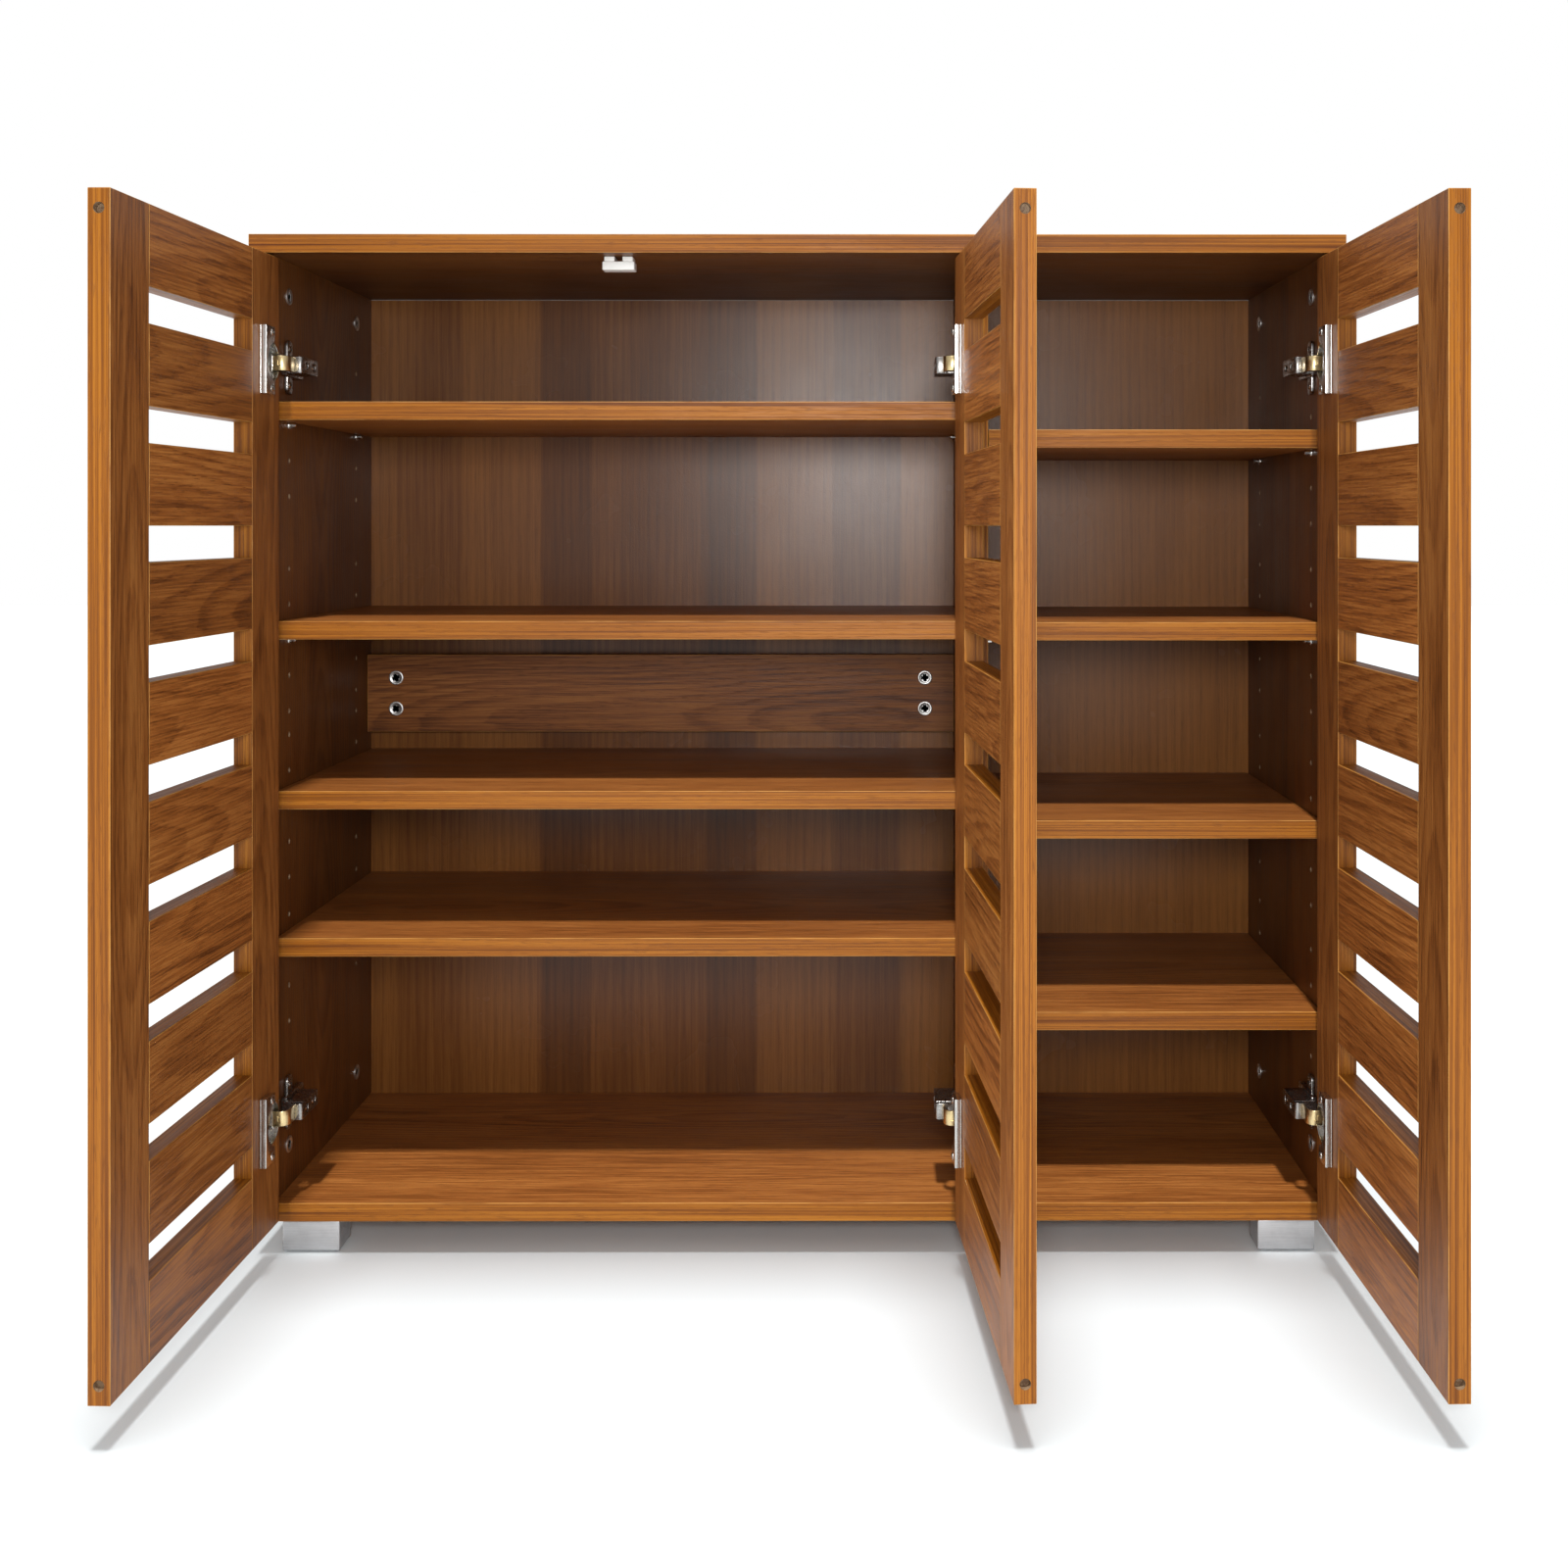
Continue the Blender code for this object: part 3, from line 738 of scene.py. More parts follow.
@dataclass(frozen=True)
class BackFinish:
    """Thin back board: printed upright planks inside, plain hardboard behind; some planks are lightened as
    painted sheen.
    """

    name: str = "printed_back"
    deep: Colour = (0.046, 0.0145, 0.0038)
    middle: Colour = (0.150, 0.050, 0.0100)
    light: Colour = (0.290, 0.112, 0.0240)
    hardboard: Colour = (0.230, 0.130, 0.066)
    plank_edges: tuple[float, ...] = (-0.264, -0.195, -0.113, -0.060, 0.060, 0.113, 0.195, 0.264)
    # Printed plank tones; the two leftmost planks and the last stretch to the right are set lighter as
    # painted sheen.
    plank_print_and_sheen_tones: tuple[float, ...] = (0.70, 0.62, 0.74, 0.36, 0.52, 0.36, 0.70, 0.50, 0.80)
    match_line: float = -0.169
    blend: float = 0.003
    ring_spacing: float = 0.0090
    base: float = 0.04
    shares: tuple[float, float, float] = (-0.10, 0.16, 0.40)
    roughness: float = 0.25
    specular: float = 0.32
    bump_height: float = 0.00016

    def build(self, effects: Effects) -> bpy.types.Material:
        """Make the material."""
        material, sheet, shader = started(self.name)
        place = sheet.named("grain").outputs["Vector"]
        skin = sheet.parted(sheet.named("trim").outputs["Vector"])
        timber = sheet.placed(effects.timber, Place=place, Ring_Spacing=self.ring_spacing, Waviness=0.5)
        pores = timber.outputs["Pores"]
        world = sheet.parted(sheet.add("ShaderNodeTexCoord").outputs["Object"])
        offset = sheet.math("SUBTRACT", world[0], self.match_line)
        plank: Input = self.base + self.plank_print_and_sheen_tones[0]
        for edge, before, after in zip(self.plank_edges, self.plank_print_and_sheen_tones, self.plank_print_and_sheen_tones[1:]):
            step = sheet.between(offset, edge - self.blend, edge + self.blend)
            plank = sheet.math("MULTIPLY_ADD", step, after - before, plank)
        value = timber_value(sheet, timber, plank, self.shares)
        face = sheet.ramp(value, ((0.0, self.deep), (0.5, self.middle), (1.0, self.light)))
        face = sheet.mixed(sheet.math("MULTIPLY", pores, 0.25), face, self.deep)
        speckle = sheet.noise(place, (240.0, 260.0, 260.0), 3.0, 0.7)
        plain = sheet.mixed(sheet.between(speckle, 0.35, 0.7), self.hardboard, (0.33, 0.20, 0.11))
        colour = sheet.mixed(sheet.math("GREATER_THAN", skin[0], 0.5), face, plain)
        sheet.put(colour, shader.inputs["Base Color"])
        peel = sheet.placed(effects.peel, Pebble_Size=0.0009)
        rough = sheet.math("MULTIPLY_ADD", peel.outputs["Gloss"], 0.03, self.roughness)
        rough = sheet.math("MULTIPLY_ADD", sheet.math("GREATER_THAN", skin[0], 0.5), 0.3, rough)
        sheet.put(rough, shader.inputs["Roughness"])
        shader.inputs["Specular IOR Level"].default_value = self.specular
        height = sheet.math("MULTIPLY_ADD", pores, -0.08, peel.outputs["Height"])
        bump = sheet.add("ShaderNodeBump", Strength=0.5, Distance=self.bump_height, Height=height)
        sheet.put(bump.outputs[0], shader.inputs["Normal"])
        return material


@dataclass(frozen=True)
class MetalFinish:
    """A plated, cast or brushed metal."""

    name: str
    colour: Colour
    dull: Colour
    roughness: float
    lines: tuple[float, float, float]
    line_depth: float

    def build(self, effects: Effects) -> bpy.types.Material:
        """Make the material."""
        material, sheet, shader = started(self.name)
        brushing = sheet.placed(
            effects.brushing, Lines_X=self.lines[0], Lines_Y=self.lines[1], Lines_Z=self.lines[2]
        )
        smudge = sheet.between(brushing.outputs["Smudge"], 0.35, 0.75)
        streaks = sheet.between(brushing.outputs["Lines"], 0.3, 0.7)
        mask = sheet.math("MULTIPLY_ADD", smudge, 0.45, sheet.math("MULTIPLY", streaks, 0.40))
        sheet.put(sheet.mixed(mask, self.colour, self.dull), shader.inputs["Base Color"])
        shader.inputs["Metallic"].default_value = 1.0
        rough = sheet.math("MULTIPLY_ADD", mask, 0.14, self.roughness)
        sheet.put(rough, shader.inputs["Roughness"])
        bump = sheet.add(
            "ShaderNodeBump", Strength=0.5, Distance=self.line_depth, Height=brushing.outputs["Lines"]
        )
        sheet.put(bump.outputs[0], shader.inputs["Normal"])
        return material


@dataclass(frozen=True)
class PlasticFinish:
    """Moulded plastic with a fine pebbled skin."""

    name: str = "stop_plastic_white"
    colour: Colour = (0.86, 0.85, 0.82)
    grubby: Colour = (0.72, 0.69, 0.64)
    roughness: float = 0.38

    def build(self, effects: Effects) -> bpy.types.Material:
        """Make the material."""
        material, sheet, shader = started(self.name)
        peel = sheet.placed(effects.peel, Pebble_Size=0.0006)
        sheet.put(sheet.mixed(peel.outputs["Gloss"], self.colour, self.grubby), shader.inputs["Base Color"])
        sheet.put(
            sheet.math("MULTIPLY_ADD", peel.outputs["Gloss"], 0.1, self.roughness), shader.inputs["Roughness"]
        )
        bump = sheet.add("ShaderNodeBump", Strength=0.4, Distance=0.0001, Height=peel.outputs["Height"])
        sheet.put(bump.outputs[0], shader.inputs["Normal"])
        return material


class Finishes:
    """Every material of the cabinet."""

    def __init__(self) -> None:
        """Build the materials."""
        effects = Effects()
        self.board = BoardFinish().build(effects)
        self.back = BackFinish().build(effects)
        plain, dark, link = (900.0, 900.0, 60.0), (500.0, 500.0, 500.0), (700.0, 700.0, 90.0)
        cast, brushed = (400.0, 400.0, 400.0), (40.0, 40.0, 1800.0)
        metals = (
            MetalFinish("hinge_nickel", (0.70, 0.69, 0.66), (0.50, 0.49, 0.47), 0.20, plain, 0.00002),
            # A darker copy of the hinge nickel for the arm and mounting plate: painted shade of the dark
            # interior they reflect.
            MetalFinish("hinge_dark_nickel", (0.42, 0.40, 0.38), (0.26, 0.25, 0.24), 0.22, dark, 0.00003),
            MetalFinish("link_brass", (0.83, 0.66, 0.36), (0.66, 0.50, 0.25), 0.24, link, 0.00003),
            MetalFinish("cam_zinc", (0.72, 0.71, 0.69), (0.52, 0.51, 0.50), 0.34, cast, 0.00006),
            MetalFinish("foot_brushed", (0.60, 0.60, 0.61), (0.46, 0.46, 0.47), 0.42, brushed, 0.00005),
        )
        built = (metal.build(effects) for metal in metals)
        self.steel, self.dark_steel, self.brass, self.zinc, self.foot = built
        self.plastic = PlasticFinish().build(effects)


# ---------------------------------------------------------------------------
# Repeats: trees that copy, drill and scatter
# ---------------------------------------------------------------------------


def ladder_tree() -> bpy.types.NodeTree:
    """Tree: copies a slat upwards at a pitch, each with its own grain and tone."""
    sheet = Sheet.group(
        "GeometryNodeTree",
        "slat_ladder",
        {
            "Slat": ("Geometry", None),
            "Count": ("Int", 8),
            "Pitch": ("Float", 0.08),
            "Grain Spread": ("Vector", (3.0, 0.05, 0.03)),
            "Tone Spread": ("Float", 0.3),
            "Seed": ("Int", 1),
            "Finish": ("Material", None),
        },
        {"Ladder": "Geometry"},
    )
    rise = sheet.combined(0.0, 0.0, sheet.given("Pitch"))
    marks = sheet.add("GeometryNodeMeshLine", Count=sheet.given("Count"), Offset=rise).outputs[0]
    shift = sheet.chance("FLOAT_VECTOR", sheet.given("Grain Spread"))
    lift = sheet.chance("FLOAT", sheet.given("Tone Spread"))
    marks = sheet.stored(marks, "slat_shift", shift, "FLOAT_VECTOR", "POINT")
    marks = sheet.stored(marks, "slat_tone", lift, "FLOAT", "POINT")
    copies = sheet.add("GeometryNodeInstanceOnPoints", Points=marks, Instance=sheet.given("Slat"))
    ladder = sheet.add("GeometryNodeRealizeInstances", Geometry=copies.outputs[0]).outputs[0]
    grain = sheet.vector_math("ADD", sheet.read("grain"), sheet.read("slat_shift"))
    ladder = sheet.stored(ladder, "grain", grain, "FLOAT_VECTOR", "POINT")
    extra = sheet.combined(0.0, sheet.read("slat_tone", "FLOAT"), 0.0)
    trim = sheet.vector_math("ADD", sheet.read("trim"), extra)
    ladder = sheet.stored(ladder, "trim", trim, "FLOAT_VECTOR", "FACE")
    dressed = sheet.add("GeometryNodeSetMaterial", Geometry=ladder, Material=sheet.given("Finish"))
    return sheet.close(Ladder=dressed.outputs[0])


def drill_tree() -> bpy.types.NodeTree:
    """Tree: drills round holes in a board at marked points."""
    sheet = Sheet.group(
        "GeometryNodeTree",
        "drilling",
        {
            "Board": ("Geometry", None),
            "Marks": ("Object", None),
            "Facets": ("Int", 24),
            "Finish": ("Material", None),
        },
        {"Drilled": "Geometry"},
    )
    marks = sheet.add("GeometryNodeObjectInfo", {"transform_space": "ORIGINAL"}, Object=sheet.given("Marks"))
    drill = sheet.add("GeometryNodeMeshCylinder", Vertices=sheet.given("Facets"), Radius=1.0, Depth=1.0)
    aim = sheet.add("FunctionNodeAlignRotationToVector", {"axis": "Z"}, Vector=sheet.read("facing"))
    bits = sheet.add(
        "GeometryNodeInstanceOnPoints",
        Points=marks.outputs["Geometry"],
        Instance=drill.outputs["Mesh"],
        Rotation=aim.outputs[0],
        Scale=sheet.read("bore"),
    )
    bits = sheet.add("GeometryNodeRealizeInstances", Geometry=bits.outputs[0])
    cut = sheet.add("GeometryNodeMeshBoolean", {"operation": "DIFFERENCE", "solver": "EXACT"})
    sheet.put(sheet.given("Board"), cut.inputs["Mesh 1"])
    sheet.put(bits.outputs[0], cut.inputs["Mesh 2"])
    whole = sheet.add("GeometryNodeRealizeInstances", Geometry=cut.outputs[0])
    dressed = sheet.add("GeometryNodeSetMaterial", Geometry=whole.outputs[0], Material=sheet.given("Finish"))
    return sheet.close(Drilled=dressed.outputs[0])


def fastener_tree() -> bpy.types.NodeTree:
    """Tree: sets a fastener head on each marked point, facing out, each turned by chance."""
    sheet = Sheet.group(
        "GeometryNodeTree",
        "fasteners",
        {
            "Marks": ("Geometry", None),
            "Head": ("Object", None),
            "Turn": ("Float", 1.57),
            "Seed": ("Int", 3),
            "Finish": ("Material", None),
        },
        {"Fasteners": "Geometry"},
    )
    head = sheet.add("GeometryNodeObjectInfo", {"transform_space": "ORIGINAL"}, Object=sheet.given("Head"))
    aim = sheet.add("FunctionNodeAlignRotationToVector", {"axis": "Z"}, Vector=sheet.read("facing"))
    turn = sheet.chance("FLOAT", sheet.given("Turn"))
    spin = sheet.add("FunctionNodeAxisAngleToRotation", Angle=turn)
    sheet.put((0.0, 0.0, 1.0), spin.inputs["Axis"])
    turned_head = sheet.add("FunctionNodeRotateRotation", {"rotation_space": "LOCAL"})
    sheet.put(aim.outputs[0], turned_head.inputs[0])
    sheet.put(spin.outputs[0], turned_head.inputs[1])
    heads = sheet.add(
        "GeometryNodeInstanceOnPoints",
        Points=sheet.given("Marks"),
        Instance=head.outputs["Geometry"],
        Rotation=turned_head.outputs[0],
    )
    whole = sheet.add("GeometryNodeRealizeInstances", Geometry=heads.outputs[0])
    dressed = sheet.add("GeometryNodeSetMaterial", Geometry=whole.outputs[0], Material=sheet.given("Finish"))
    return sheet.close(Fasteners=dressed.outputs[0])


def grown(
    base: bpy.types.Mesh, tree: bpy.types.NodeTree, inputs: dict[str, object], name: str
) -> bpy.types.Mesh:
    """Run a geometry tree on a mesh.

    Args:
        base: The mesh that goes in.
        tree: The tree.
        inputs: Values of its named inputs.
        name: Name of the result.

    Returns:
        The plain mesh that comes out.
    """
    holder = bpy.data.objects.new("grower", base)
    bpy.context.scene.collection.objects.link(holder)
    modifier = holder.modifiers.new("grower", "NODES")
    modifier.node_group = tree
    for item in tree.interface.items_tree:
        if item.item_type == "SOCKET" and item.in_out == "INPUT" and item.name in inputs:
            modifier[item.identifier] = inputs[item.name]
    depsgraph = bpy.context.evaluated_depsgraph_get()
    depsgraph.update()
    result = bpy.data.meshes.new_from_object(
        holder.evaluated_get(depsgraph), preserve_all_data_layers=True, depsgraph=depsgraph
    )
    holder.modifiers.remove(modifier)
    bpy.data.objects.remove(holder)
    result.name = name
    return result


@dataclass(frozen=True)
class Mark:
    """A point on a surface with the way it faces, and the bore that belongs there."""

    at: Vector
    facing: Vector
    radius: float = 0.0025
    depth: float = 0.010


def marks_mesh(marks: Sequence[Mark]) -> bpy.types.Mesh:
    """A mesh of loose points that carry each mark's direction and bore."""
    mesh = bpy.data.meshes.new("marks")
    mesh.from_pydata([mark.at for mark in marks], [], [])
    facing = mesh.attributes.new("facing", "FLOAT_VECTOR", "POINT")
    bore = mesh.attributes.new("bore", "FLOAT_VECTOR", "POINT")
    for index, mark in enumerate(marks):
        facing.data[index].vector = mark.facing
        bore.data[index].vector = (mark.radius, mark.radius, 2 * mark.depth)
    return mesh


class Workshop:
    """The trees that repeat things, and the heads of the fasteners they set."""

    def __init__(self, finishes: Finishes) -> None:
        """Build the trees and the heads."""
        self.finishes = finishes
        self.ladder = ladder_tree()
        self.drilling = drill_tree()
        self.scatter = fastener_tree()
        self.screw = piece_from("screw_head", self.cross_head(0.0033, 0.0011, 0.0018, 0.0007))
        self.small_screw = piece_from("small_screw_head", self.cross_head(0.0026, 0.0010, 0.0015, 0.0006))
        self.cam = piece_from("cam_head", self.cross_head(0.0074, 0.0012, 0.0040, 0.0018, True))
        self.pin = piece_from("shelf_pin", self.pin_head())
        self.nail = piece_from("nail_head", self.nail_head())

    @staticmethod
    def cross_head(
        radius: float, height: float, reach: float, width: float, ring: bool = False
    ) -> bpy.types.Mesh:
        """A round head with a cross recess, facing up its Z axis from a surface at 0.

        Args:
            radius: Radius of the head.
            height: How far it stands proud.
            reach: Half the length of the cross.
            width: Half the width of the cross.
            ring: Whether it has a raised rim, as a cam lock has.

        Returns:
            The mesh.
        """
        if ring:
            profile = [
                (0.0, height * 0.55),
                (radius * 0.66, height * 0.55),
                (radius * 0.74, height * 0.95),
                (radius * 0.93, height),
                (radius, height * 0.75),
                (radius, -0.0004),
                (0.0, -0.0004),
            ]
        else:
            profile = [
                (0.0, height),
                (radius * 0.45, height * 0.97),
                (radius * 0.80, height * 0.72),
                (radius, height * 0.15),
                (radius, -0.0004),
                (0.0, -0.0004),
            ]
        head = piece_from("head", turned(profile, Matrix.Identity(4), 24))
        work = bmesh.new()
        tall = height + 0.001
        slot = Matrix.Translation((0, 0, tall / 2)) @ Matrix.Diagonal((2 * reach, 2 * width, tall, 1))
        for turn in (0, math.pi / 2):
            bmesh.ops.create_cube(work, size=1, matrix=Matrix.Rotation(turn, 4, "Z") @ slot)
        cutter = piece_from("cutter", mesh_from(work, "cutter"))
        boolean = head.modifiers.new("cut", "BOOLEAN")
        boolean.operation = "DIFFERENCE"
        boolean.solver = "EXACT"
        boolean.use_self = True
        boolean.object = cutter
        depsgraph = bpy.context.evaluated_depsgraph_get()
        mesh = bpy.data.meshes.new_from_object(head.evaluated_get(depsgraph))
        for helper in (head, cutter):
            bpy.data.objects.remove(helper)
        smooth_shade(mesh, 40)
        return mesh

    @staticmethod
    def pin_head() -> bpy.types.Mesh:
        """A steel shelf pin: a 5 mm shaft with a small collar, pointing up its Z axis."""
        profile = [
            (0.0, 0.0062),
            (0.0019, 0.0062),
            (0.0024, 0.0056),
            (0.0024, 0.0012),
            (0.0038, 0.0010),
            (0.0040, 0.0006),
            (0.0040, -0.0002),
            (0.0, -0.0002),
        ]
        return turned(profile, Matrix.Identity(4), 20)

    @staticmethod
    def nail_head() -> bpy.types.Mesh:
        """A flat nail head, slightly domed."""
        profile = [(0.0, 0.00055), (0.0016, 0.00045), (0.0023, 0.00005), (0.0023, -0.0003), (0.0, -0.0003)]
        return turned(profile, Matrix.Identity(4), 14)

    def drilled(self, board: bpy.types.Mesh, marks: Sequence[Mark], facets: int = 24) -> bpy.types.Mesh:
        """Drill a board at marks.

        Args:
            board: The board.
            marks: Where to drill, how wide and how deep.
            facets: Facets round each hole.

        Returns:
            The drilled board.
        """
        if not marks:
            return board
        bits = piece_from("drill_marks", marks_mesh(marks))
        inputs = {"Marks": bits, "Facets": facets, "Finish": self.finishes.board}
        result = grown(board, self.drilling, inputs, "drilled_board")
        bpy.data.objects.remove(bits)
        return result

    def fasteners(
        self,
        head: bpy.types.Object,
        marks: Sequence[Mark],
        finish: bpy.types.Material,
        seed: int,
        turn: float = 1.57,
    ) -> bpy.types.Mesh:
        """Set fastener heads on marks.

        Args:
            head: The head to copy.
            marks: Where the heads go.
            finish: Their material.
            seed: Seed of their turning.
            turn: Most that a head is turned.

        Returns:
            One mesh of all the heads.
        """
        inputs = {"Head": head, "Seed": seed, "Turn": turn, "Finish": finish}
        return grown(marks_mesh(marks), self.scatter, inputs, "fasteners")

    def clear_away(self) -> None:
        """Remove the helper objects."""
        for helper in (self.screw, self.small_screw, self.cam, self.pin, self.nail):
            bpy.data.objects.remove(helper)


# ---------------------------------------------------------------------------
# Boards
# ---------------------------------------------------------------------------

ARRIS_WIDTH = 0.0005
SKIN_DEPTH = 0.0011


def dressed(
    mesh: bpy.types.Mesh,
    low: Vector,
    high: Vector,
    grain: Grain,
    seed: int,
    tone: float = 0.5,
    raw_back: bool = False,
) -> bpy.types.Mesh:
    """Give a board the attributes its finish reads: grain position, and skin with tone.

    Args:
        mesh: The board, still square to its axes.
        low: Its lowest corner.
        high: Its highest corner.
        grain: The axis of its grain.
        seed: Seed of its place in the pattern.
        tone: Its tone from 0, dark, to 1, light; the low tones of the walls and top and the lifted tones of
            the doors are painted shade and painted light.
        raw_back: Whether its face towards +Y is bare board.

    Returns:
        The same mesh.
    """
    chance = random.Random(seed)
    size = high - low
    along = grain.value
    thin = min((axis for axis in range(3) if axis != along), key=lambda axis: size[axis])
    across = 3 - along - thin
    middle = (low + high) / 2
    shift = (chance.uniform(0, 40), chance.uniform(-0.35, 0.35) * size[across], chance.uniform(0, 0.05))
    place = mesh.attributes.new("grain", "FLOAT_VECTOR", "POINT")
    for index, vertex in enumerate(mesh.vertices):
        local = vertex.co - middle
        place.data[index].vector = [local[axis] + move for axis, move in zip((along, across, thin), shift)]
    trim = mesh.attributes.new("trim", "FLOAT_VECTOR", "FACE")
    for index, face in enumerate(mesh.polygons):
        normal, centre = face.normal, face.center
        gaps = [min(centre[axis] - low[axis], high[axis] - centre[axis]) for axis in range(3)]
        main = max(range(3), key=lambda axis: abs(normal[axis]))
        if min(gaps) > SKIN_DEPTH:
            skin = Skin.RAW
        elif abs(normal[main]) < 0.99:
            skin = Skin.ARRIS
        elif main != thin:
            skin = Skin.EDGE_BAND
        else:
            skin = Skin.LAMINATE
        if raw_back and normal.y > 0.9:
            skin = Skin.RAW
        trim.data[index].vector = (skin.value, tone, float(main == along))
    return mesh


@dataclass
class Panel:
    """One flat board of the carcass, made where its CAD node stands."""

    node: str
    grain: Grain
    seed: int
    tone: float = 0.5
    marks: list[Mark] = field(default_factory=list)

    def build(self, workshop: Workshop) -> bpy.types.Object:
        """Make the board.

        Args:
            workshop: The trees and materials.

        Returns:
            The finished piece.
        """
        low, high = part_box(self.node)
        mesh = eased_box(low, high, ARRIS_WIDTH)
        mesh = workshop.drilled(mesh, self.marks)
        mesh = dressed(mesh, low, high, self.grain, self.seed, self.tone)
        mesh.materials.clear()
        mesh.materials.append(workshop.finishes.board)
        return hand_over(piece_from(f"{self.node}_board", mesh), "root", [self.node])


@dataclass
class Carcass:
    """Top, bottom, sides, divider, back, cleat and shelves, with their fittings."""

    workshop: Workshop
    pin_row_front: float = 0.037
    pin_row_rear: float = 0.237
    pin_pitch: float = 0.032
    pin_below_shelf: float = 0.0026
    spare_holes: int = 2
    least_spacing: float = 0.012
    cam_inset: float = 0.031
    cam_rows: tuple[float, ...] = (0.036, 0.238)
    nail_spacing: float = 0.095
    nail_inset: float = 0.008
    nail_rise: float = 0.0006

    def pin_marks(self, shelves: Sequence[str], wall: float, facing: float) -> tuple[list[Mark], list[Mark]]:
        """Pins under the ends of shelves, and the spare holes above and below them.

        Args:
            shelves: The shelves' CAD nodes.
            wall: X of the wall that holds the pins.
            facing: 1 where the wall faces +X, -1 where it faces -X.

        Returns:
            Marks of the pins, and marks of the empty holes.
        """
        pins: list[Mark] = []
        holes: list[Mark] = []
        direction = Vector((facing, 0, 0))
        for shelf in shelves:
            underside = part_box(shelf)[0].z
            for row in (self.pin_row_front, self.pin_row_rear):
                for step in range(-self.spare_holes, self.spare_holes + 1):
                    height = underside - self.pin_below_shelf + step * self.pin_pitch
                    at = Vector((wall, CARCASS_FRONT + row, height))
                    if step == 0:
                        pins.append(Mark(at, direction))
                    elif step < 0 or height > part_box(shelf)[1].z + 0.004:
                        holes.append(Mark(at, direction, 0.0025, 0.009))
        kept: list[Mark] = []
        for hole in holes:
            if all((hole.at - other.at).length > self.least_spacing for other in pins + kept):
                kept.append(hole)
        return pins, kept

    def cam_marks(self, wall: float, facing: float) -> list[Mark]:
        """Cam locks near the top and bottom of a wall."""
        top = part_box("top_panel")[0].z - self.cam_inset
        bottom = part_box("bottom_panel")[1].z + self.cam_inset + 0.008
        return [
            Mark(Vector((wall, CARCASS_FRONT + row, height)), Vector((facing, 0, 0)))
            for row in self.cam_rows
            for height in (bottom, top)
        ]

    def build(self) -> None:
        """Build every board and fitting of the carcass."""
        left = [f"left_shelf_{number}" for number in range(1, 5)]
        right = [f"right_shelf_{number}" for number in range(1, 5)]
        walls = {
            "left_side_panel": [(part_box("left_side_panel")[1].x, 1.0, left)],
            "right_side_panel": [(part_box("right_side_panel")[0].x, -1.0, right)],
            "centre_divider": [
                (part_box("centre_divider")[0].x, -1.0, left),
                (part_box("centre_divider")[1].x, 1.0, right),
            ],
        }
        pins: list[Mark] = []
        cams: list[Mark] = []
        for seed, (node, faces) in enumerate(walls.items(), start=11):
            holes: list[Mark] = []
            for wall, facing, shelves in faces:
                more_pins, more_holes = self.pin_marks(shelves, wall, facing)
                pins += more_pins
                holes += more_holes
                cams += self.cam_marks(wall, facing)
            # The walls' low tone is painted shade of the cabinet's dark interior.
            Panel(node, Grain.ALONG_Z, seed, 0.08, holes).build(self.workshop)
        # The top's low tone is painted shade on its underside.
        Panel("top_panel", Grain.ALONG_X, 21, 0.10).build(self.workshop)
        Panel("bottom_panel", Grain.ALONG_X, 22, 0.55).build(self.workshop)
        Panel("rear_cleat", Grain.ALONG_X, 23, 0.42).build(self.workshop)
        for seed, node in enumerate(left + right, start=31):
            Panel(node, Grain.ALONG_X, seed, 0.45 + 0.03 * (seed % 4)).build(self.workshop)
        self.build_back()
        self.build_fittings(pins, cams)

    def build_back(self) -> None:
        """The thin printed back board."""
        low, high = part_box("back_panel")
        high.y -= self.nail_rise
        mesh = eased_box(low, high, 0.0003, 1)
        mesh = dressed(mesh, low, high, Grain.ALONG_Z, 41, 0.5, raw_back=True)
        mesh.materials.append(self.workshop.finishes.back)
        hand_over(piece_from("back_board", mesh), "root", ["back_panel"])

    def build_fittings(self, pins: Sequence[Mark], cams: Sequence[Mark]) -> None:
        """Shelf pins, cam locks and the nails of the back."""
        shop = self.workshop
        mesh = shop.fasteners(shop.pin, pins, shop.finishes.steel, 5)
        hand_over(piece_from("shelf_pins", mesh), "root")
        mesh = shop.fasteners(shop.cam, cams, shop.finishes.zinc, 6, 0.5)
        hand_over(piece_from("panel_cam_locks", mesh), "root")
        cleat_cams = [
            f"cleat_cam_{side}_{level}" for side in ("left", "right") for level in ("lower", "upper")
        ]
        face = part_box("rear_cleat")[0].y
        marks = []
        for node in cleat_cams:
            low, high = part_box(node)
            middle = (low + high) / 2
            marks.append(Mark(Vector((middle.x, face, middle.z)), Vector((0, -1, 0))))
        mesh = shop.fasteners(shop.cam, marks, shop.finishes.zinc, 7, 0.9)
        hand_over(piece_from("cleat_cam_locks", mesh), "root", cleat_cams)
        low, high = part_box("back_panel")
        rear = high.y - self.nail_rise
        inset = Vector((self.nail_inset, 0, self.nail_inset))
        low, high = low + inset, high - inset
        span = high - low
        across, upward = int(span.x / self.nail_spacing), int(span.z / self.nail_spacing)
        spots = [(low.x + span.x * step / across, z) for step in range(across + 1) for z in (low.z, high.z)]
        divider = (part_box("centre_divider")[0].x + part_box("centre_divider")[1].x) / 2
        for step in range(1, upward):
            spots += [(x, low.z + span.z * step / upward) for x in (low.x, divider, high.x)]
        nails = [Mark(Vector((x, rear, z)), Vector((0, 1, 0))) for x, z in spots]
        mesh = shop.fasteners(shop.nail, nails, shop.finishes.zinc, 8)
        hand_over(piece_from("back_nails", mesh), "root")


# ---------------------------------------------------------------------------
# Doors
# ---------------------------------------------------------------------------


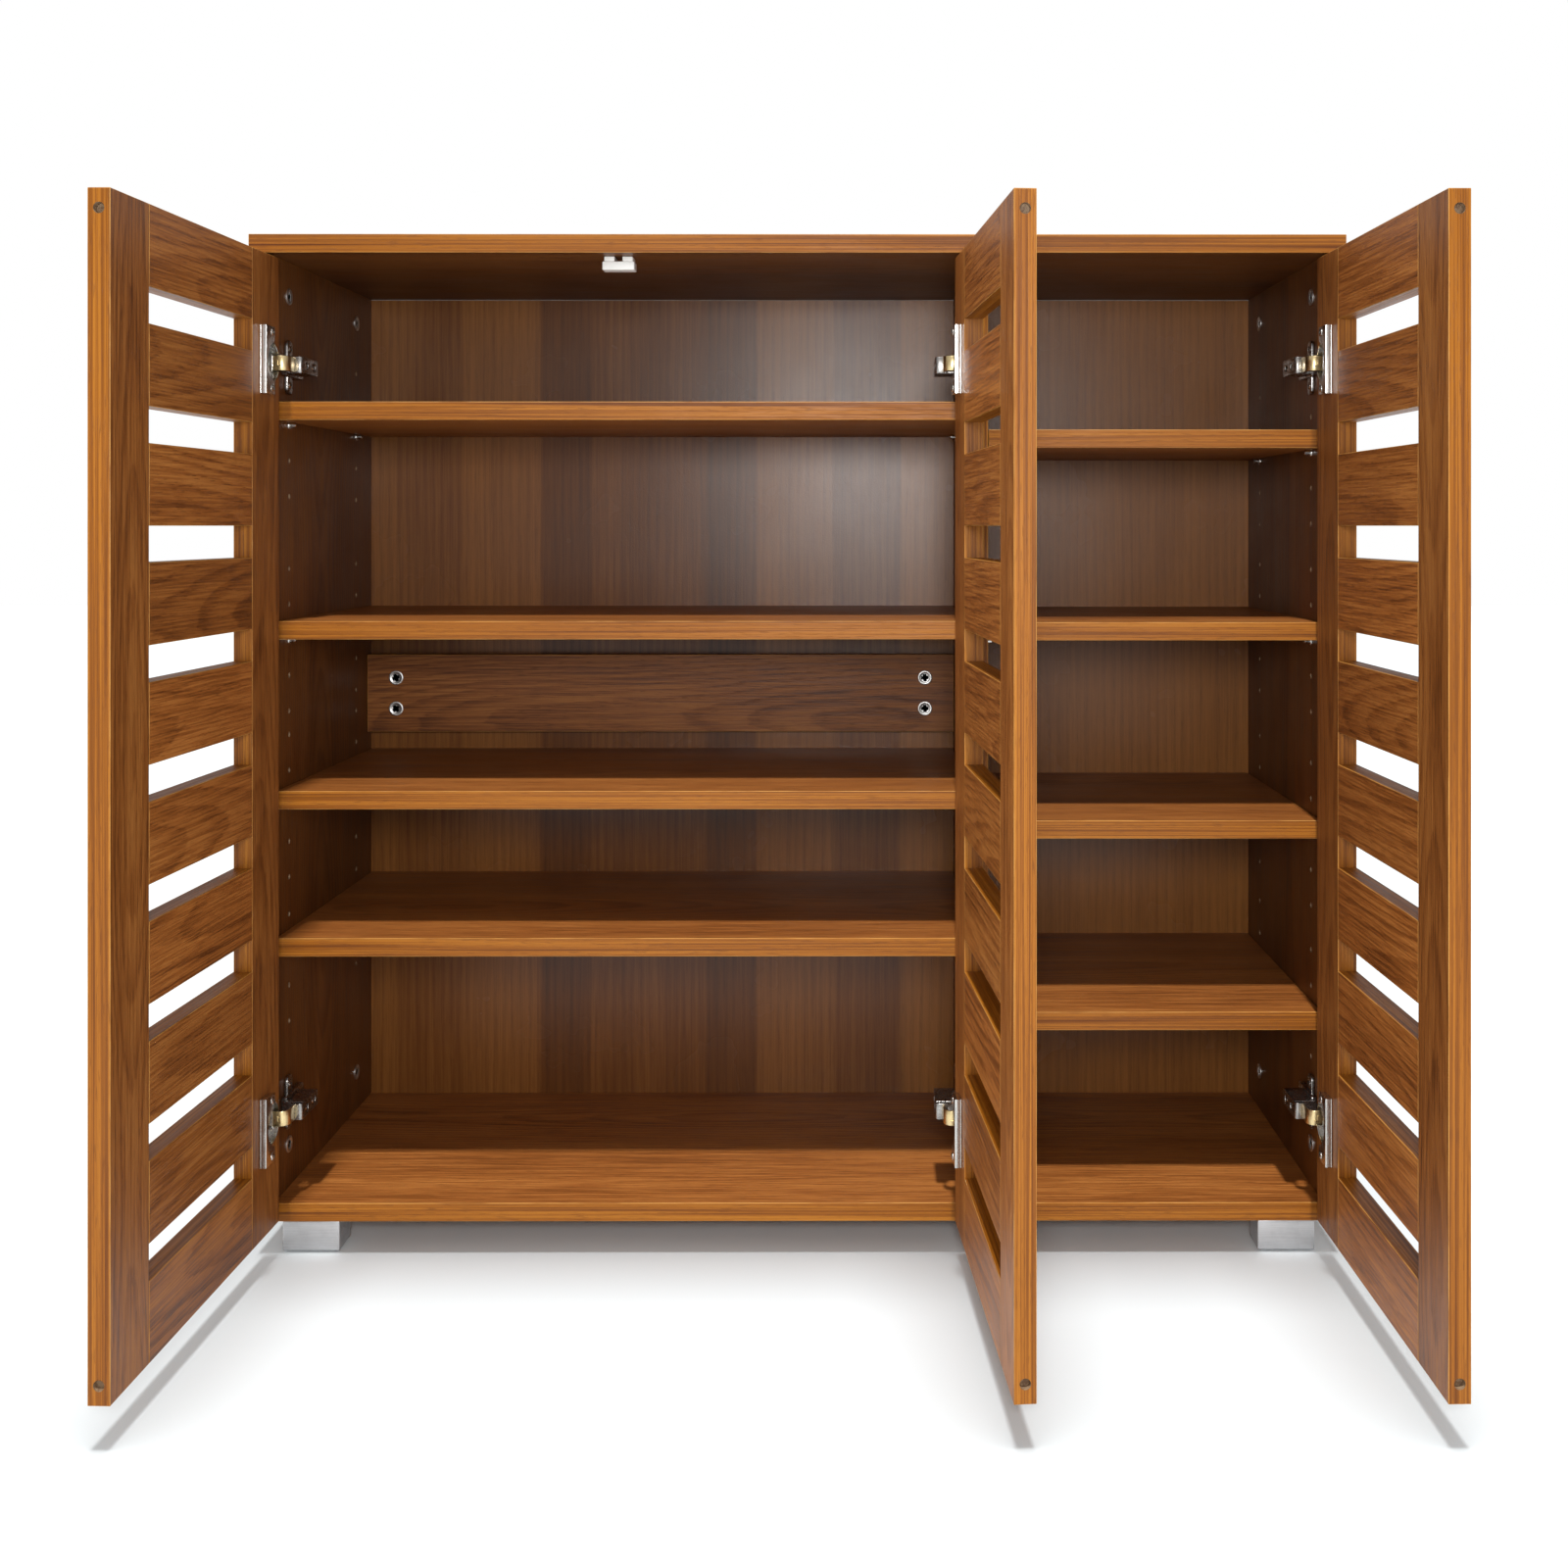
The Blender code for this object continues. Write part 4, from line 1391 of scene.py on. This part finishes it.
class DoorSide(Enum):
    """Which way a door's free edge lies from its hinge edge, along X when closed."""

    FREE_EDGE_RIGHT = 1
    FREE_EDGE_LEFT = -1


@dataclass
class Door:
    """One slatted door, made closed in its own axes and swung to its stored angle."""

    name: str
    side: DoorSide
    joint: dict
    workshop: Workshop
    seed: int
    # Lifts of the stiles' and slats' tone are painted light: lighter on the middle and right doors, whose
    # faces turn towards the key light, darker on the left door's stiles.
    stile_painted_light_lift: float = 0.0
    slat_painted_light_lift: float = 0.0
    width: float = 0.313
    thickness: float = 0.016
    stile: float = 0.060
    slat: float = 0.060
    slats: int = 8
    joint_gap: float = 0.0003
    pivot_along: float = 0.0080
    pivot_deep: float = 0.0112
    hinge_from_end: float = 0.092
    cup_along: float = 0.0205
    bore_radius: float = 0.0178
    bore_depth: float = 0.0146
    pin_hole_radius: float = 0.004
    pin_hole_depth: float = 0.006
    pin_hole_from_end: float = 0.014

    @property
    def swing(self) -> float:
        """How far the door is open as stored, in degrees."""
        return -self.joint["range_deg"][0]

    @property
    def hinge_edge(self) -> float:
        """X of the hinge edge when closed."""
        return self.joint["pos_m"][0] - self.side.value * self.pivot_along

    def place(self) -> Matrix:
        """From the door's own axes (along, outward, up) to the cabinet's."""
        sign = self.side.value
        pivot = self.joint["pos_m"]
        return (
            Matrix.Translation((pivot[0], pivot[1], 0))
            @ Matrix.Rotation(-sign * math.radians(self.swing), 4, "Z")
            @ Matrix.Translation((-sign * self.pivot_along, self.pivot_deep, DOOR_BOTTOM))
        )

    def board(
        self,
        label: str,
        along: tuple[float, float],
        heights: tuple[float, float],
        grain: Grain,
        seed: int,
        tone: float,
        marks: Sequence[Mark] = (),
    ) -> bpy.types.Mesh:
        """A board of the door in the door's own axes.

        Args:
            label: Its name.
            along: Where it starts and ends from the hinge edge.
            heights: Its bottom and top above the door's bottom.
            grain: The axis of its grain.
            seed: Seed of its pattern.
            tone: Its tone.
            marks: Holes to drill.

        Returns:
            The dressed mesh.
        """
        first, last = sorted((self.side.value * along[0], self.side.value * along[1]))
        low = Vector((first, -self.thickness, heights[0]))
        high = Vector((last, 0, heights[1]))
        mesh = self.workshop.drilled(eased_box(low, high, ARRIS_WIDTH), marks, 36)
        mesh = dressed(mesh, low, high, grain, seed, tone)
        mesh.materials.clear()
        mesh.materials.append(self.workshop.finishes.board)
        mesh.name = label
        return mesh

    def add(self, label: str, mesh: bpy.types.Mesh, slot: str, nodes: Sequence[str]) -> bpy.types.Object:
        """Swing a mesh to its place and hand it over as a piece of this door."""
        mesh.transform(self.place())
        mesh.update()
        return hand_over(piece_from(f"{self.name}_{label}", mesh), f"{self.name}_door", nodes)

    def build(self) -> None:
        """Build the door's five boards and its slats."""
        sign = self.side.value
        full = (0.0, DOOR_HEIGHT)
        outward = Vector((0, 1, 0))
        cup_marks = [
            Mark(Vector((sign * self.cup_along, 0, height)), outward, self.bore_radius, self.bore_depth)
            for height in (self.hinge_from_end, DOOR_HEIGHT - self.hinge_from_end)
        ]
        edge_marks = [
            Mark(
                Vector((sign * self.width, -self.thickness / 2, height)),
                Vector((sign, 0, 0)),
                self.pin_hole_radius,
                self.pin_hole_depth,
            )
            for height in (self.pin_hole_from_end, DOOR_HEIGHT - self.pin_hole_from_end)
        ]
        node = f"{self.name}_door"
        tone = 0.47 + self.stile_painted_light_lift
        stile = self.board("stile", (0, self.stile), full, Grain.ALONG_Z, self.seed, tone, cup_marks)
        self.add("hinge_stile_board", stile, "walnut_board", [f"{node}_hinge_stile"])
        free = (self.width - self.stile, self.width)
        tone = 0.50 + self.stile_painted_light_lift
        stile = self.board("stile", free, full, Grain.ALONG_Z, self.seed + 1, tone, edge_marks)
        self.add("free_stile_board", stile, "walnut_board", [f"{node}_free_stile"])
        ends = (self.stile + self.joint_gap, self.width - self.stile - self.joint_gap)
        tone = 0.52 + self.slat_painted_light_lift
        rail = self.board("rail", ends, (0, self.slat), Grain.ALONG_X, self.seed + 2, tone)
        self.add("bottom_rail_board", rail, "walnut_board", [f"{node}_bottom_rail"])
        top = (DOOR_HEIGHT - self.slat, DOOR_HEIGHT)
        rail = self.board("rail", ends, top, Grain.ALONG_X, self.seed + 3, 0.55 + self.slat_painted_light_lift)
        self.add("top_rail_board", rail, "walnut_board", [f"{node}_top_rail"])
        gap = (DOOR_HEIGHT - (self.slats + 2) * self.slat) / (self.slats + 1)
        pitch = self.slat + gap
        tone = 0.40 + self.slat_painted_light_lift
        slat = self.board("slat", ends, (pitch, pitch + self.slat), Grain.ALONG_X, self.seed + 4, tone)
        inputs = {
            "Count": self.slats,
            "Pitch": pitch,
            "Grain Spread": (40.0, 0.030, 0.040),
            "Tone Spread": 0.30,
            "Seed": self.seed,
            "Finish": self.workshop.finishes.board,
        }
        slats = grown(slat, self.workshop.ladder, inputs, "slats")
        self.add("slat_boards", slats, "walnut_board", [f"{node}_slat_ladder"])


# ---------------------------------------------------------------------------
# Hinges
# ---------------------------------------------------------------------------


@dataclass
class Hinge:
    """A concealed cup hinge: cup on the door, link and winged arm on the carcass."""

    door: Door
    level: str
    height: float
    base: float
    workshop: Workshop
    flange_thickness: float = 0.0012
    flange_far: float = 0.0452
    ear_near: float = 0.0256
    ear_height: float = 0.058
    block_rise: float = 0.0062
    block_cut: float = 1.15
    block_ease: float = 0.0006
    rim_radius: float = 0.0182
    mouth_radius: float = 0.0166
    cup_radius: float = 0.0175
    cup_depth: float = 0.0134
    cup_wall: float = 0.0009
    screw_spacing: float = 0.048
    screw_along: float = 0.0308
    bridge_near: float = 0.0315
    bridge_far: float = 0.0365
    bridge_deep: float = 0.0125
    bridge_shallow: float = 0.0030
    bridge_height: float = 0.0124
    pin_radius: float = 0.0010
    link_height: float = 0.0130
    link_thickness: float = 0.0020
    link_start: float = 0.0160
    link_knee: float = 0.0256
    link_reach: float = 0.0292
    link_rise: float = 0.0045
    pivot_out: float = 0.0142
    arm_front: float = 0.0028
    arm_back: float = 0.045
    arm_top: float = 0.0366
    arm_height: float = 0.014
    arm_shell: float = 0.0110
    arm_sheet: float = 0.0012
    arm_screws: tuple[float, float] = (0.0125, 0.031)
    slots: tuple[tuple[float, float, float], ...] = ((0.0085, 0.0165, 0.0034), (0.0260, 0.0360, 0.0036))
    rail_height: float = 0.018
    rail_front: float = 0.014
    rail_back: float = 0.060
    rail_thickness: float = 0.0050
    rail_middle: float = 0.0027
    wing_at: float = 0.030
    wing_length: float = 0.014
    wing_height: float = 0.048
    wing_thickness: float = 0.0030
    wing_screws: float = 0.032

    @property
    def label(self) -> str:
        """Name of the hinge's CAD nodes."""
        return f"{self.door.name}_{self.level}_hinge"

    def dish(self) -> bpy.types.Mesh:
        """The cup's bowl, hollow, with its mouth at the door's face."""
        wall, depth, rim = self.cup_wall, self.cup_depth, self.flange_thickness + SEAM
        inner, outer = self.mouth_radius, self.cup_radius
        profile = [
            (0.0, -depth),
            (inner * 0.72, -depth),
            (inner * 0.90, -depth + 0.0012),
            (inner - 0.0003, -depth + 0.0040),
            (inner, 0.0002),
            (inner + 0.0003, rim + 0.0001),
            (outer, rim + 0.0002),
            (outer + 0.0002, rim - 0.0003),
            (outer, 0.0),
            (outer, -depth + 0.0030),
            (outer * 0.90, -depth - wall),
            (0.0, -depth - wall),
        ]
        middle = Vector((self.door.side.value * self.door.cup_along, 0, self.height))
        place = Matrix.Translation(middle) @ Matrix.Rotation(-math.pi / 2, 4, "X")
        return turned(profile, place, 48)

    def cut_reach(self, angle: float) -> float:
        """How far the block's cutout reaches at an angle, in radii: it is drawn out in the middle."""
        return math.cos(angle) * (1 + (self.block_cut - 1) * math.cos(angle))

    def flange_outline(self) -> Outline:
        """Outline of the flange in (along, up): two ears joined by the cup's rim."""
        points: Outline = []
        half, corner = self.ear_height / 2, 0.0035
        centre, radius = self.door.cup_along, self.rim_radius
        near = self.ear_near
        meet = math.acos((near - centre) / radius)
        for step in range(25):
            turn = meet + (2 * math.pi - 2 * meet) * step / 24
            points.append((centre + radius * math.cos(turn), radius * math.sin(turn)))
        ear: Outline = []
        for step in range(6):
            turn = math.pi / 2 * step / 5
            ear.append((near + corner - corner * math.cos(turn), half - corner + corner * math.sin(turn)))
        ear.append((self.flange_far, half))
        below = [(x, -y) for x, y in ear]
        return points + below + ear[::-1]

    def flange(self) -> list[bpy.types.Mesh]:
        """The stamped flange, and the raised screw plate that leaves the mouth open."""
        sign = self.door.side.value
        lift = SEAM + self.flange_thickness / 2
        place = Matrix.Translation((0, lift, self.height)) @ UPRIGHT
        outline = [(sign * x, y) for x, y in self.flange_outline()]
        centre = sign * self.door.cup_along
        mouth = [
            (centre + self.mouth_radius * math.cos(turn), self.mouth_radius * math.sin(turn))
            for turn in (2 * math.pi * step / 40 for step in range(40))
        ]
        sheet = plate(outline, [mouth], self.flange_thickness, 0.0003, place)
        half, low, high = self.ear_height / 2, self.flange_thickness, self.block_rise
        near, centre_along, radius = self.ear_near, self.door.cup_along, self.mouth_radius + 0.0008
        meet = math.acos((near - centre_along) / radius)
        block = [(near, half), (self.flange_far, half), (self.flange_far, -half), (near, -half)]
        for step in range(21):
            angle = meet * (step / 10 - 1)
            block.append((centre_along + self.cut_reach(angle) * radius, radius * math.sin(angle)))
        block = [(sign * x, y) for x, y in block]
        middle = Matrix.Translation((0, (low + high) / 2, self.height)) @ UPRIGHT
        return [sheet, plate(block, [], high - low, self.block_ease, middle)]

    def build_cup(self) -> None:
        """Build the pieces that ride on the door."""
        door, finishes = self.door, self.workshop.finishes
        sign = door.side.value
        reach = math.sqrt((self.mouth_radius - 0.0004) ** 2 - (door.cup_along - door.pivot_along) ** 2)
        pin = turned(
            [(0.0, -reach), (self.pin_radius, -reach), (self.pin_radius, reach), (0.0, reach)],
            Matrix.Translation((sign * door.pivot_along, -door.pivot_deep, self.height)),
            18,
        )
        first, last = sorted((sign * self.bridge_near, sign * self.bridge_far))
        bridge = eased_box(
            Vector((first, -self.bridge_deep, self.height - self.bridge_height / 2)),
            Vector((last, -self.bridge_shallow, self.height + self.bridge_height / 2)),
            0.0008,
        )
        smooth_shade(bridge)
        cup = joined([*self.flange(), self.dish(), pin, bridge], "hinge_cup")
        cup.materials.append(finishes.steel)
        door.add(f"{self.level}_hinge_flange", cup, "hinge_steel", [f"{self.label}_cup"])
        face = self.block_rise
        marks = [
            Mark(Vector((sign * self.screw_along, face, self.height + offset)), Vector((0, 1, 0)))
            for offset in (-self.screw_spacing / 2, self.screw_spacing / 2)
        ]
        screws = self.workshop.fasteners(self.workshop.screw, marks, finishes.steel, door.seed + 3)
        door.add(f"{self.level}_hinge_cup_screws", screws, "hinge_steel", [])

    def stand(self) -> Matrix:
        """From the arm's axes (along from the hinge edge, behind the front, up) to the cabinet's."""
        level = DOOR_BOTTOM + self.height
        return Matrix.Translation((self.door.hinge_edge, CARCASS_FRONT, level))

    def settle(self, label: str, mesh: bpy.types.Mesh, nodes: Sequence[str]) -> None:
        """Move a mesh to its place on the carcass and hand it over."""
        mesh.transform(self.stand())
        mesh.update()
        hand_over(piece_from(f"{self.door.name}_{self.level}_{label}", mesh), "root", nodes)

    def build_link(self) -> None:
        """Build the yellow gooseneck link and its bright loop at the cup."""
        sign = self.door.side.value
        out = -self.pivot_out
        start = self.door.pivot_along
        corners = [
            Vector((sign * self.link_start, out, 0)),
            Vector((sign * self.link_knee, out, 0)),
            Vector((sign * self.link_reach, out + self.link_rise, 0)),
            Vector((sign * self.link_reach, self.arm_front - 0.0003, 0)),
        ]
        path = rounded_path(corners, (0.0034, 0.0026))
        body = strip(path, [self.link_height] * len(path), self.link_thickness)
        link = joined([body, self.pressing(sign, out)], "hinge_link")
        link.materials.append(self.workshop.finishes.brass)
        self.settle("hinge_link_plate", link, [f"{self.label}_link"])
        half = self.link_height / 2 + 0.0006
        outer = rounded((start + 0.0010, -half), (self.link_start + 0.0008, half), 0.0010)
        rim = half - 0.0013
        inner = rounded((self.link_start - 0.0030, -rim), (self.link_start - 0.0006, rim), 0.0005)
        rings = [[(sign * x, z) for x, z in ring] for ring in (outer, inner)]
        upright = Matrix.Translation((0, out - 0.0006, 0)) @ UPRIGHT
        loop = plate(rings[0], [rings[1]], 0.0013, 0.0003, upright)
        end = self.link_height / 2 - 0.0008
        tube = [(0.0012, -end), (0.0019, -end), (0.0019, end), (0.0012, end), (0.0012, -end)]
        eye = turned(tube, Matrix.Translation((sign * start, out, 0)), 20)
        loop = joined([loop, eye], "hinge_loop")
        loop.materials.append(self.workshop.finishes.steel)
        self.settle("hinge_link_loop", loop, [])

    def pressing(self, sign: int, out: float) -> bpy.types.Mesh:
        """The small L-shaped pressing on the link's outer face."""
        bars = []
        front = out - self.link_thickness / 2
        for low, high in (
            ((self.link_knee - 0.0052, -0.0030), (self.link_knee - 0.0040, 0.0024)),
            ((self.link_knee - 0.0052, -0.0030), (self.link_knee - 0.0016, -0.0018)),
        ):
            first, last = sorted((sign * low[0], sign * high[0]))
            corners = Vector((first, front - 0.00035, low[1])), Vector((last, front + SEAM, high[1]))
            bars.append(eased_box(*corners, 0.0002))
        return joined(bars, "pressing")

    def build_arm(self) -> None:
        """Build the arm, its mounting plate and their screws."""
        sign = self.door.side.value
        finishes = self.workshop.finishes
        foot = self.base + SEAM
        arm = joined([self.channel(sign, foot), self.nose(sign)], "hinge_arm")
        # The arm and mounting plate take the darker nickel, which is painted shade.
        arm.materials.append(finishes.dark_steel)
        self.settle("hinge_arm_shell", arm, [f"{self.label}_arm"])
        reach, half = self.wing_length / 2, self.wing_height / 2
        wing = rounded((-reach, -half), (reach, half), 0.0055)
        stand = Matrix.Translation((sign * (foot + self.wing_thickness / 2), self.wing_at, 0)) @ EDGEWISE
        wings = plate(wing, [], self.wing_thickness, 0.0006, stand)
        half = self.rail_height / 2
        outline = rounded((self.rail_front, -half), (self.rail_back, half), 0.004)
        stand = Matrix.Translation((sign * (foot + self.rail_middle), 0, 0)) @ EDGEWISE
        rail = plate(outline, [], self.rail_thickness, 0.0008, stand)
        mount = joined([wings, rail], "hinge_mount")
        mount.materials.append(finishes.dark_steel)
        self.settle("hinge_mount_plate", mount, [])
        facing = Vector((sign, 0, 0))
        marks = [
            Mark(Vector((sign * (foot + self.wing_thickness), self.wing_at, offset)), facing)
            for offset in (-self.wing_screws / 2, self.wing_screws / 2)
        ]
        screws = self.workshop.fasteners(self.workshop.screw, marks, finishes.steel, self.door.seed + 5)
        self.settle("hinge_wing_screws", screws, [])
        marks = [
            Mark(Vector((sign * (self.arm_top - self.arm_sheet), self.arm_front + distance, 0)), facing)
            for distance in self.arm_screws
        ]
        screws = self.workshop.fasteners(self.workshop.small_screw, marks, finishes.steel, self.door.seed + 7)
        self.settle("hinge_arm_screws", screws, [])

    def channel(self, sign: int, foot: float) -> bpy.types.Mesh:
        """The arm's folded channel: a top with two slots, and two walls down to the plate."""
        half = self.arm_height / 2
        sheet = self.arm_sheet
        front = self.arm_front + 0.004
        slots = [
            rounded((self.arm_front + first, -width), (self.arm_front + last, width), width - 0.0001)
            for first, last, width in self.slots
        ]
        outline = rounded((front, -half), (self.arm_back, half), 0.0015)
        stand = Matrix.Translation((sign * (self.arm_top - sheet / 2), 0, 0)) @ EDGEWISE
        parts = [plate(outline, slots, sheet, SEAM, stand)]
        for edge in (-1, 1):
            low, high = sorted((sign * (foot + 0.0032), sign * (self.arm_top - SEAM)))
            first, last = sorted((edge * half, edge * (half - sheet)))
            corners = Vector((low, front + 0.002, first)), Vector((high, self.arm_back - 0.001, last))
            parts.append(eased_box(*corners, SEAM))
        filler_low, filler_high = sorted((sign * (foot + 0.0030), sign * (self.arm_top - 0.0050)))
        filler = eased_box(
            Vector((filler_low, front + 0.004, -half + sheet)),
            Vector((filler_high, self.arm_back - 0.004, half - sheet)),
            0.0004,
        )
        return joined([*parts, filler], "channel")

    def nose(self, sign: int) -> bpy.types.Mesh:
        """The arm's curled front end that holds the link."""
        corners = [
            Vector((sign * (self.arm_top - self.arm_shell), self.arm_front + 0.0006, 0)),
            Vector((sign * (self.arm_top - 0.0006), self.arm_front + 0.0006, 0)),
            Vector((sign * (self.arm_top - 0.0006), self.arm_front + 0.0060, 0)),
        ]
        path = rounded_path(corners, (0.0028,))
        return strip(path, [self.arm_height] * len(path), self.arm_sheet)

    def build(self) -> None:
        """Build the whole hinge."""
        self.build_cup()
        self.build_link()
        self.build_arm()


# ---------------------------------------------------------------------------
# Feet and door stop
# ---------------------------------------------------------------------------


@dataclass
class Feet:
    """Four brushed metal blocks with eased corners, each on a thin glide."""

    workshop: Workshop
    ease: float = 0.0012
    glide_inset: float = 0.003
    glide_height: float = 0.0015

    def build(self) -> None:
        """Build the four feet."""
        for row in ("front", "rear"):
            for side in ("left", "right"):
                node = f"{row}_{side}_foot"
                low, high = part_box(node)
                body = eased_box(low + Vector((0, 0, self.glide_height)), high, self.ease, 3)
                inset = Vector((self.glide_inset, self.glide_inset, 0))
                top = Vector((high.x, high.y, low.z + self.glide_height + 0.0005)) - inset
                glide = eased_box(low + inset, top, 0.0004)
                mesh = joined([body, glide], node)
                smooth_shade(mesh)
                mesh.materials.append(self.workshop.finishes.foot)
                hand_over(piece_from(f"{node}_block", mesh), "root", [node])


@dataclass
class DoorStop:
    """The white two-lugged stop screwed under the top."""

    workshop: Workshop
    notch: float = 0.0070
    lug_height: float = 0.0045
    lug_end: float = 0.0125

    def build(self) -> None:
        """Build the stop and its screws."""
        low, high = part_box("door_stop")
        middle = (low.x + high.x) / 2
        parts = [eased_box(low, Vector((high.x, high.y - 0.004, high.z - self.lug_height)), 0.0008, 3)]
        for edge in (-1, 1):
            first, last = sorted((middle + edge * self.notch / 2, middle + edge * self.lug_end))
            parts.append(
                eased_box(
                    Vector((first, low.y + 0.0012, high.z - self.lug_height - 0.001)),
                    Vector((last, high.y, high.z)),
                    0.0006,
                )
            )
        mesh = joined(parts, "door_stop")
        smooth_shade(mesh)
        mesh.materials.append(self.workshop.finishes.plastic)
        hand_over(piece_from("door_stop_moulding", mesh), "root", ["door_stop"])
        marks = [Mark(Vector((middle, (low.y + high.y) / 2, low.z)), Vector((0, 0, -1)))]
        screws = self.workshop.fasteners(self.workshop.small_screw, marks, self.workshop.finishes.zinc, 9)
        screws.transform(Matrix.Translation((0, 0, 0.0008)))
        hand_over(piece_from("door_stop_screw", screws), "root")


# ---------------------------------------------------------------------------
# Studio
# ---------------------------------------------------------------------------


@dataclass
class Studio:
    """Camera, lights, backdrop and floor."""

    lens: float = 39.14
    shift: tuple[float, float] = (-0.0565, -0.1648)
    stand: tuple[float, float, float] = (0.0606, -1.4822, 0.6378)
    turn_degrees: float = -0.156
    key_energy: float = 3.6
    key_elevation: float = 60.0
    key_azimuth: float = -3.0
    key_angle: float = 3.0
    sky: float = 0.52
    floor_tone: float = 0.85
    wash_energy: float = 2.8
    wash_angle: float = 14.0
    softbox_energy: float = 13.0
    softbox_at: tuple[float, float, float] = (0.07, -1.75, 0.82)
    softbox_aim: tuple[float, float, float] = (0.0, 0.1, 0.55)
    softbox_size: float = 0.34

    def build_camera(self) -> None:
        """Set up the camera."""
        data = bpy.data.cameras.new("viewpoint")
        data.lens = self.lens
        data.sensor_width = 36.0
        data.shift_x, data.shift_y = self.shift
        data.clip_start, data.clip_end = 0.05, 50.0
        data.dof.use_dof = False
        camera = bpy.data.objects.new("viewpoint", data)
        camera.location = self.stand
        camera.rotation_euler = (math.radians(90), 0, math.radians(self.turn_degrees))
        bpy.context.scene.collection.objects.link(camera)
        bpy.context.scene.camera = camera

    def add_light(
        self, name: str, kind: str, energy: float, at: Vector, aim: Vector, size: float
    ) -> bpy.types.Object:
        """Add a light that points from one place to another, and return it."""
        data = bpy.data.lights.new(name, kind)
        data.energy = energy
        if kind == "SUN":
            data.angle = math.radians(size)
        else:
            data.shape = "DISK"
            data.size = size
        light = bpy.data.objects.new(name, data)
        light.location = at
        light.rotation_mode = "QUATERNION"
        light.rotation_quaternion = (aim - at).to_track_quat("-Z", "Y")
        bpy.context.scene.collection.objects.link(light)
        return light

    def build_lights(self) -> None:
        """Add the key and fill lights."""
        raise_angle, turn = math.radians(self.key_elevation), math.radians(self.key_azimuth)
        level = math.cos(raise_angle)
        way = Vector((math.sin(turn) * level, -math.cos(turn) * level, math.sin(raise_angle)))
        key = self.add_light("key", "SUN", self.key_energy, way * 3, Vector(), self.key_angle)
        self.lit_by(key, keep_floor=False)
        wash = self.add_light(
            "floor_wash", "SUN", self.wash_energy, Vector((0, 0, 3)), Vector(), self.wash_angle
        )
        self.lit_by(wash, keep_floor=True)
        at, aim = Vector(self.softbox_at), Vector(self.softbox_aim)
        self.add_light("front_softbox", "AREA", self.softbox_energy, at, aim, self.softbox_size)

    def lit_by(self, light: bpy.types.Object, keep_floor: bool) -> None:
        """Let a light reach only the floor, or everything except the floor."""
        receivers = bpy.data.collections.new(f"{light.name}_receivers")
        receivers.objects.link(self.floor)
        light.light_linking.receiver_collection = receivers
        state = "INCLUDE" if keep_floor else "EXCLUDE"
        receivers.collection_objects[0].light_linking.link_state = state

    def build_world(self) -> None:
        """White surroundings, seen pure white and a little dimmer as light."""
        world = bpy.data.worlds.new("studio")
        world.use_nodes = True
        bpy.context.scene.world = world
        tree = world.node_tree
        tree.nodes.clear()
        sheet = Sheet(tree)
        path = sheet.add("ShaderNodeLightPath")
        seen = path.outputs["Is Camera Ray"]
        strength = sheet.add("ShaderNodeMapRange", Value=seen, To_Min=self.sky, To_Max=1.0)
        back = sheet.add("ShaderNodeBackground", Strength=strength.outputs[0])
        back.inputs["Color"].default_value = (1, 1, 1, 1)
        out = sheet.add("ShaderNodeOutputWorld")
        tree.links.new(back.outputs[0], out.inputs["Surface"])

    def build_floor(self) -> None:
        """A wide pale floor."""
        material, sheet, shader = started("pale_floor")
        coordinates = sheet.add("ShaderNodeTexCoord").outputs["Object"]
        cloud = sheet.noise(coordinates, (2.0, 2.0, 2.0), 3.0)
        tone = self.floor_tone
        light, dim = (tone, tone + 0.055, tone + 0.075), (tone - 0.02, tone + 0.035, tone + 0.055)
        sheet.put(sheet.mixed(cloud, light, dim), shader.inputs["Base Color"])
        sheet.put(sheet.between(cloud, 0.2, 0.8, 0.55, 0.65), shader.inputs["Roughness"])
        work = bmesh.new()
        bmesh.ops.create_grid(work, x_segments=8, y_segments=8, size=12)
        mesh = bpy.data.meshes.new("floor")
        work.to_mesh(mesh)
        work.free()
        mesh.materials.append(material)
        self.floor = piece_from("floor", mesh)

    def build(self) -> None:
        """Build the whole studio."""
        scene = bpy.context.scene
        scene.view_settings.view_transform = "Standard"
        self.build_camera()
        self.build_floor()
        self.build_lights()
        self.build_world()


# ---------------------------------------------------------------------------
# Assembly
# ---------------------------------------------------------------------------


def write_sizes() -> None:
    """Bring the view layer up to date."""
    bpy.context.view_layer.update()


def main() -> None:
    """Build the cabinet and its studio."""
    logging.basicConfig(level=logging.INFO, format="%(name)s: %(message)s")
    Studio().build()
    finishes = Finishes()
    workshop = Workshop(finishes)
    Carcass(workshop).build()
    joints = {joint["name"]: joint for joint in frame["joints"]}
    # Each plan's two lifts are painted light on that door's stiles and slats.
    plans = (
        ("left", DoorSide.FREE_EDGE_RIGHT, 101, -0.08, 0.02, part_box("left_side_panel")[1].x),
        ("middle", DoorSide.FREE_EDGE_LEFT, 201, 0.26, 0.24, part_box("centre_divider")[0].x),
        ("right", DoorSide.FREE_EDGE_LEFT, 301, 0.0, 0.24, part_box("right_side_panel")[0].x),
    )
    for name, side, seed, stile_painted_light_lift, slat_painted_light_lift, wall in plans:
        door = Door(name, side, joints[f"{name}_door_swing"], workshop, seed, stile_painted_light_lift, slat_painted_light_lift)
        door.build()
        base = side.value * (wall - door.hinge_edge)
        for level, height in (("lower", door.hinge_from_end), ("upper", DOOR_HEIGHT - door.hinge_from_end)):
            Hinge(door, level, height, base, workshop).build()
    Feet(workshop).build()
    DoorStop(workshop).build()
    workshop.clear_away()
    write_sizes()


if __name__ == "__main__":
    main()
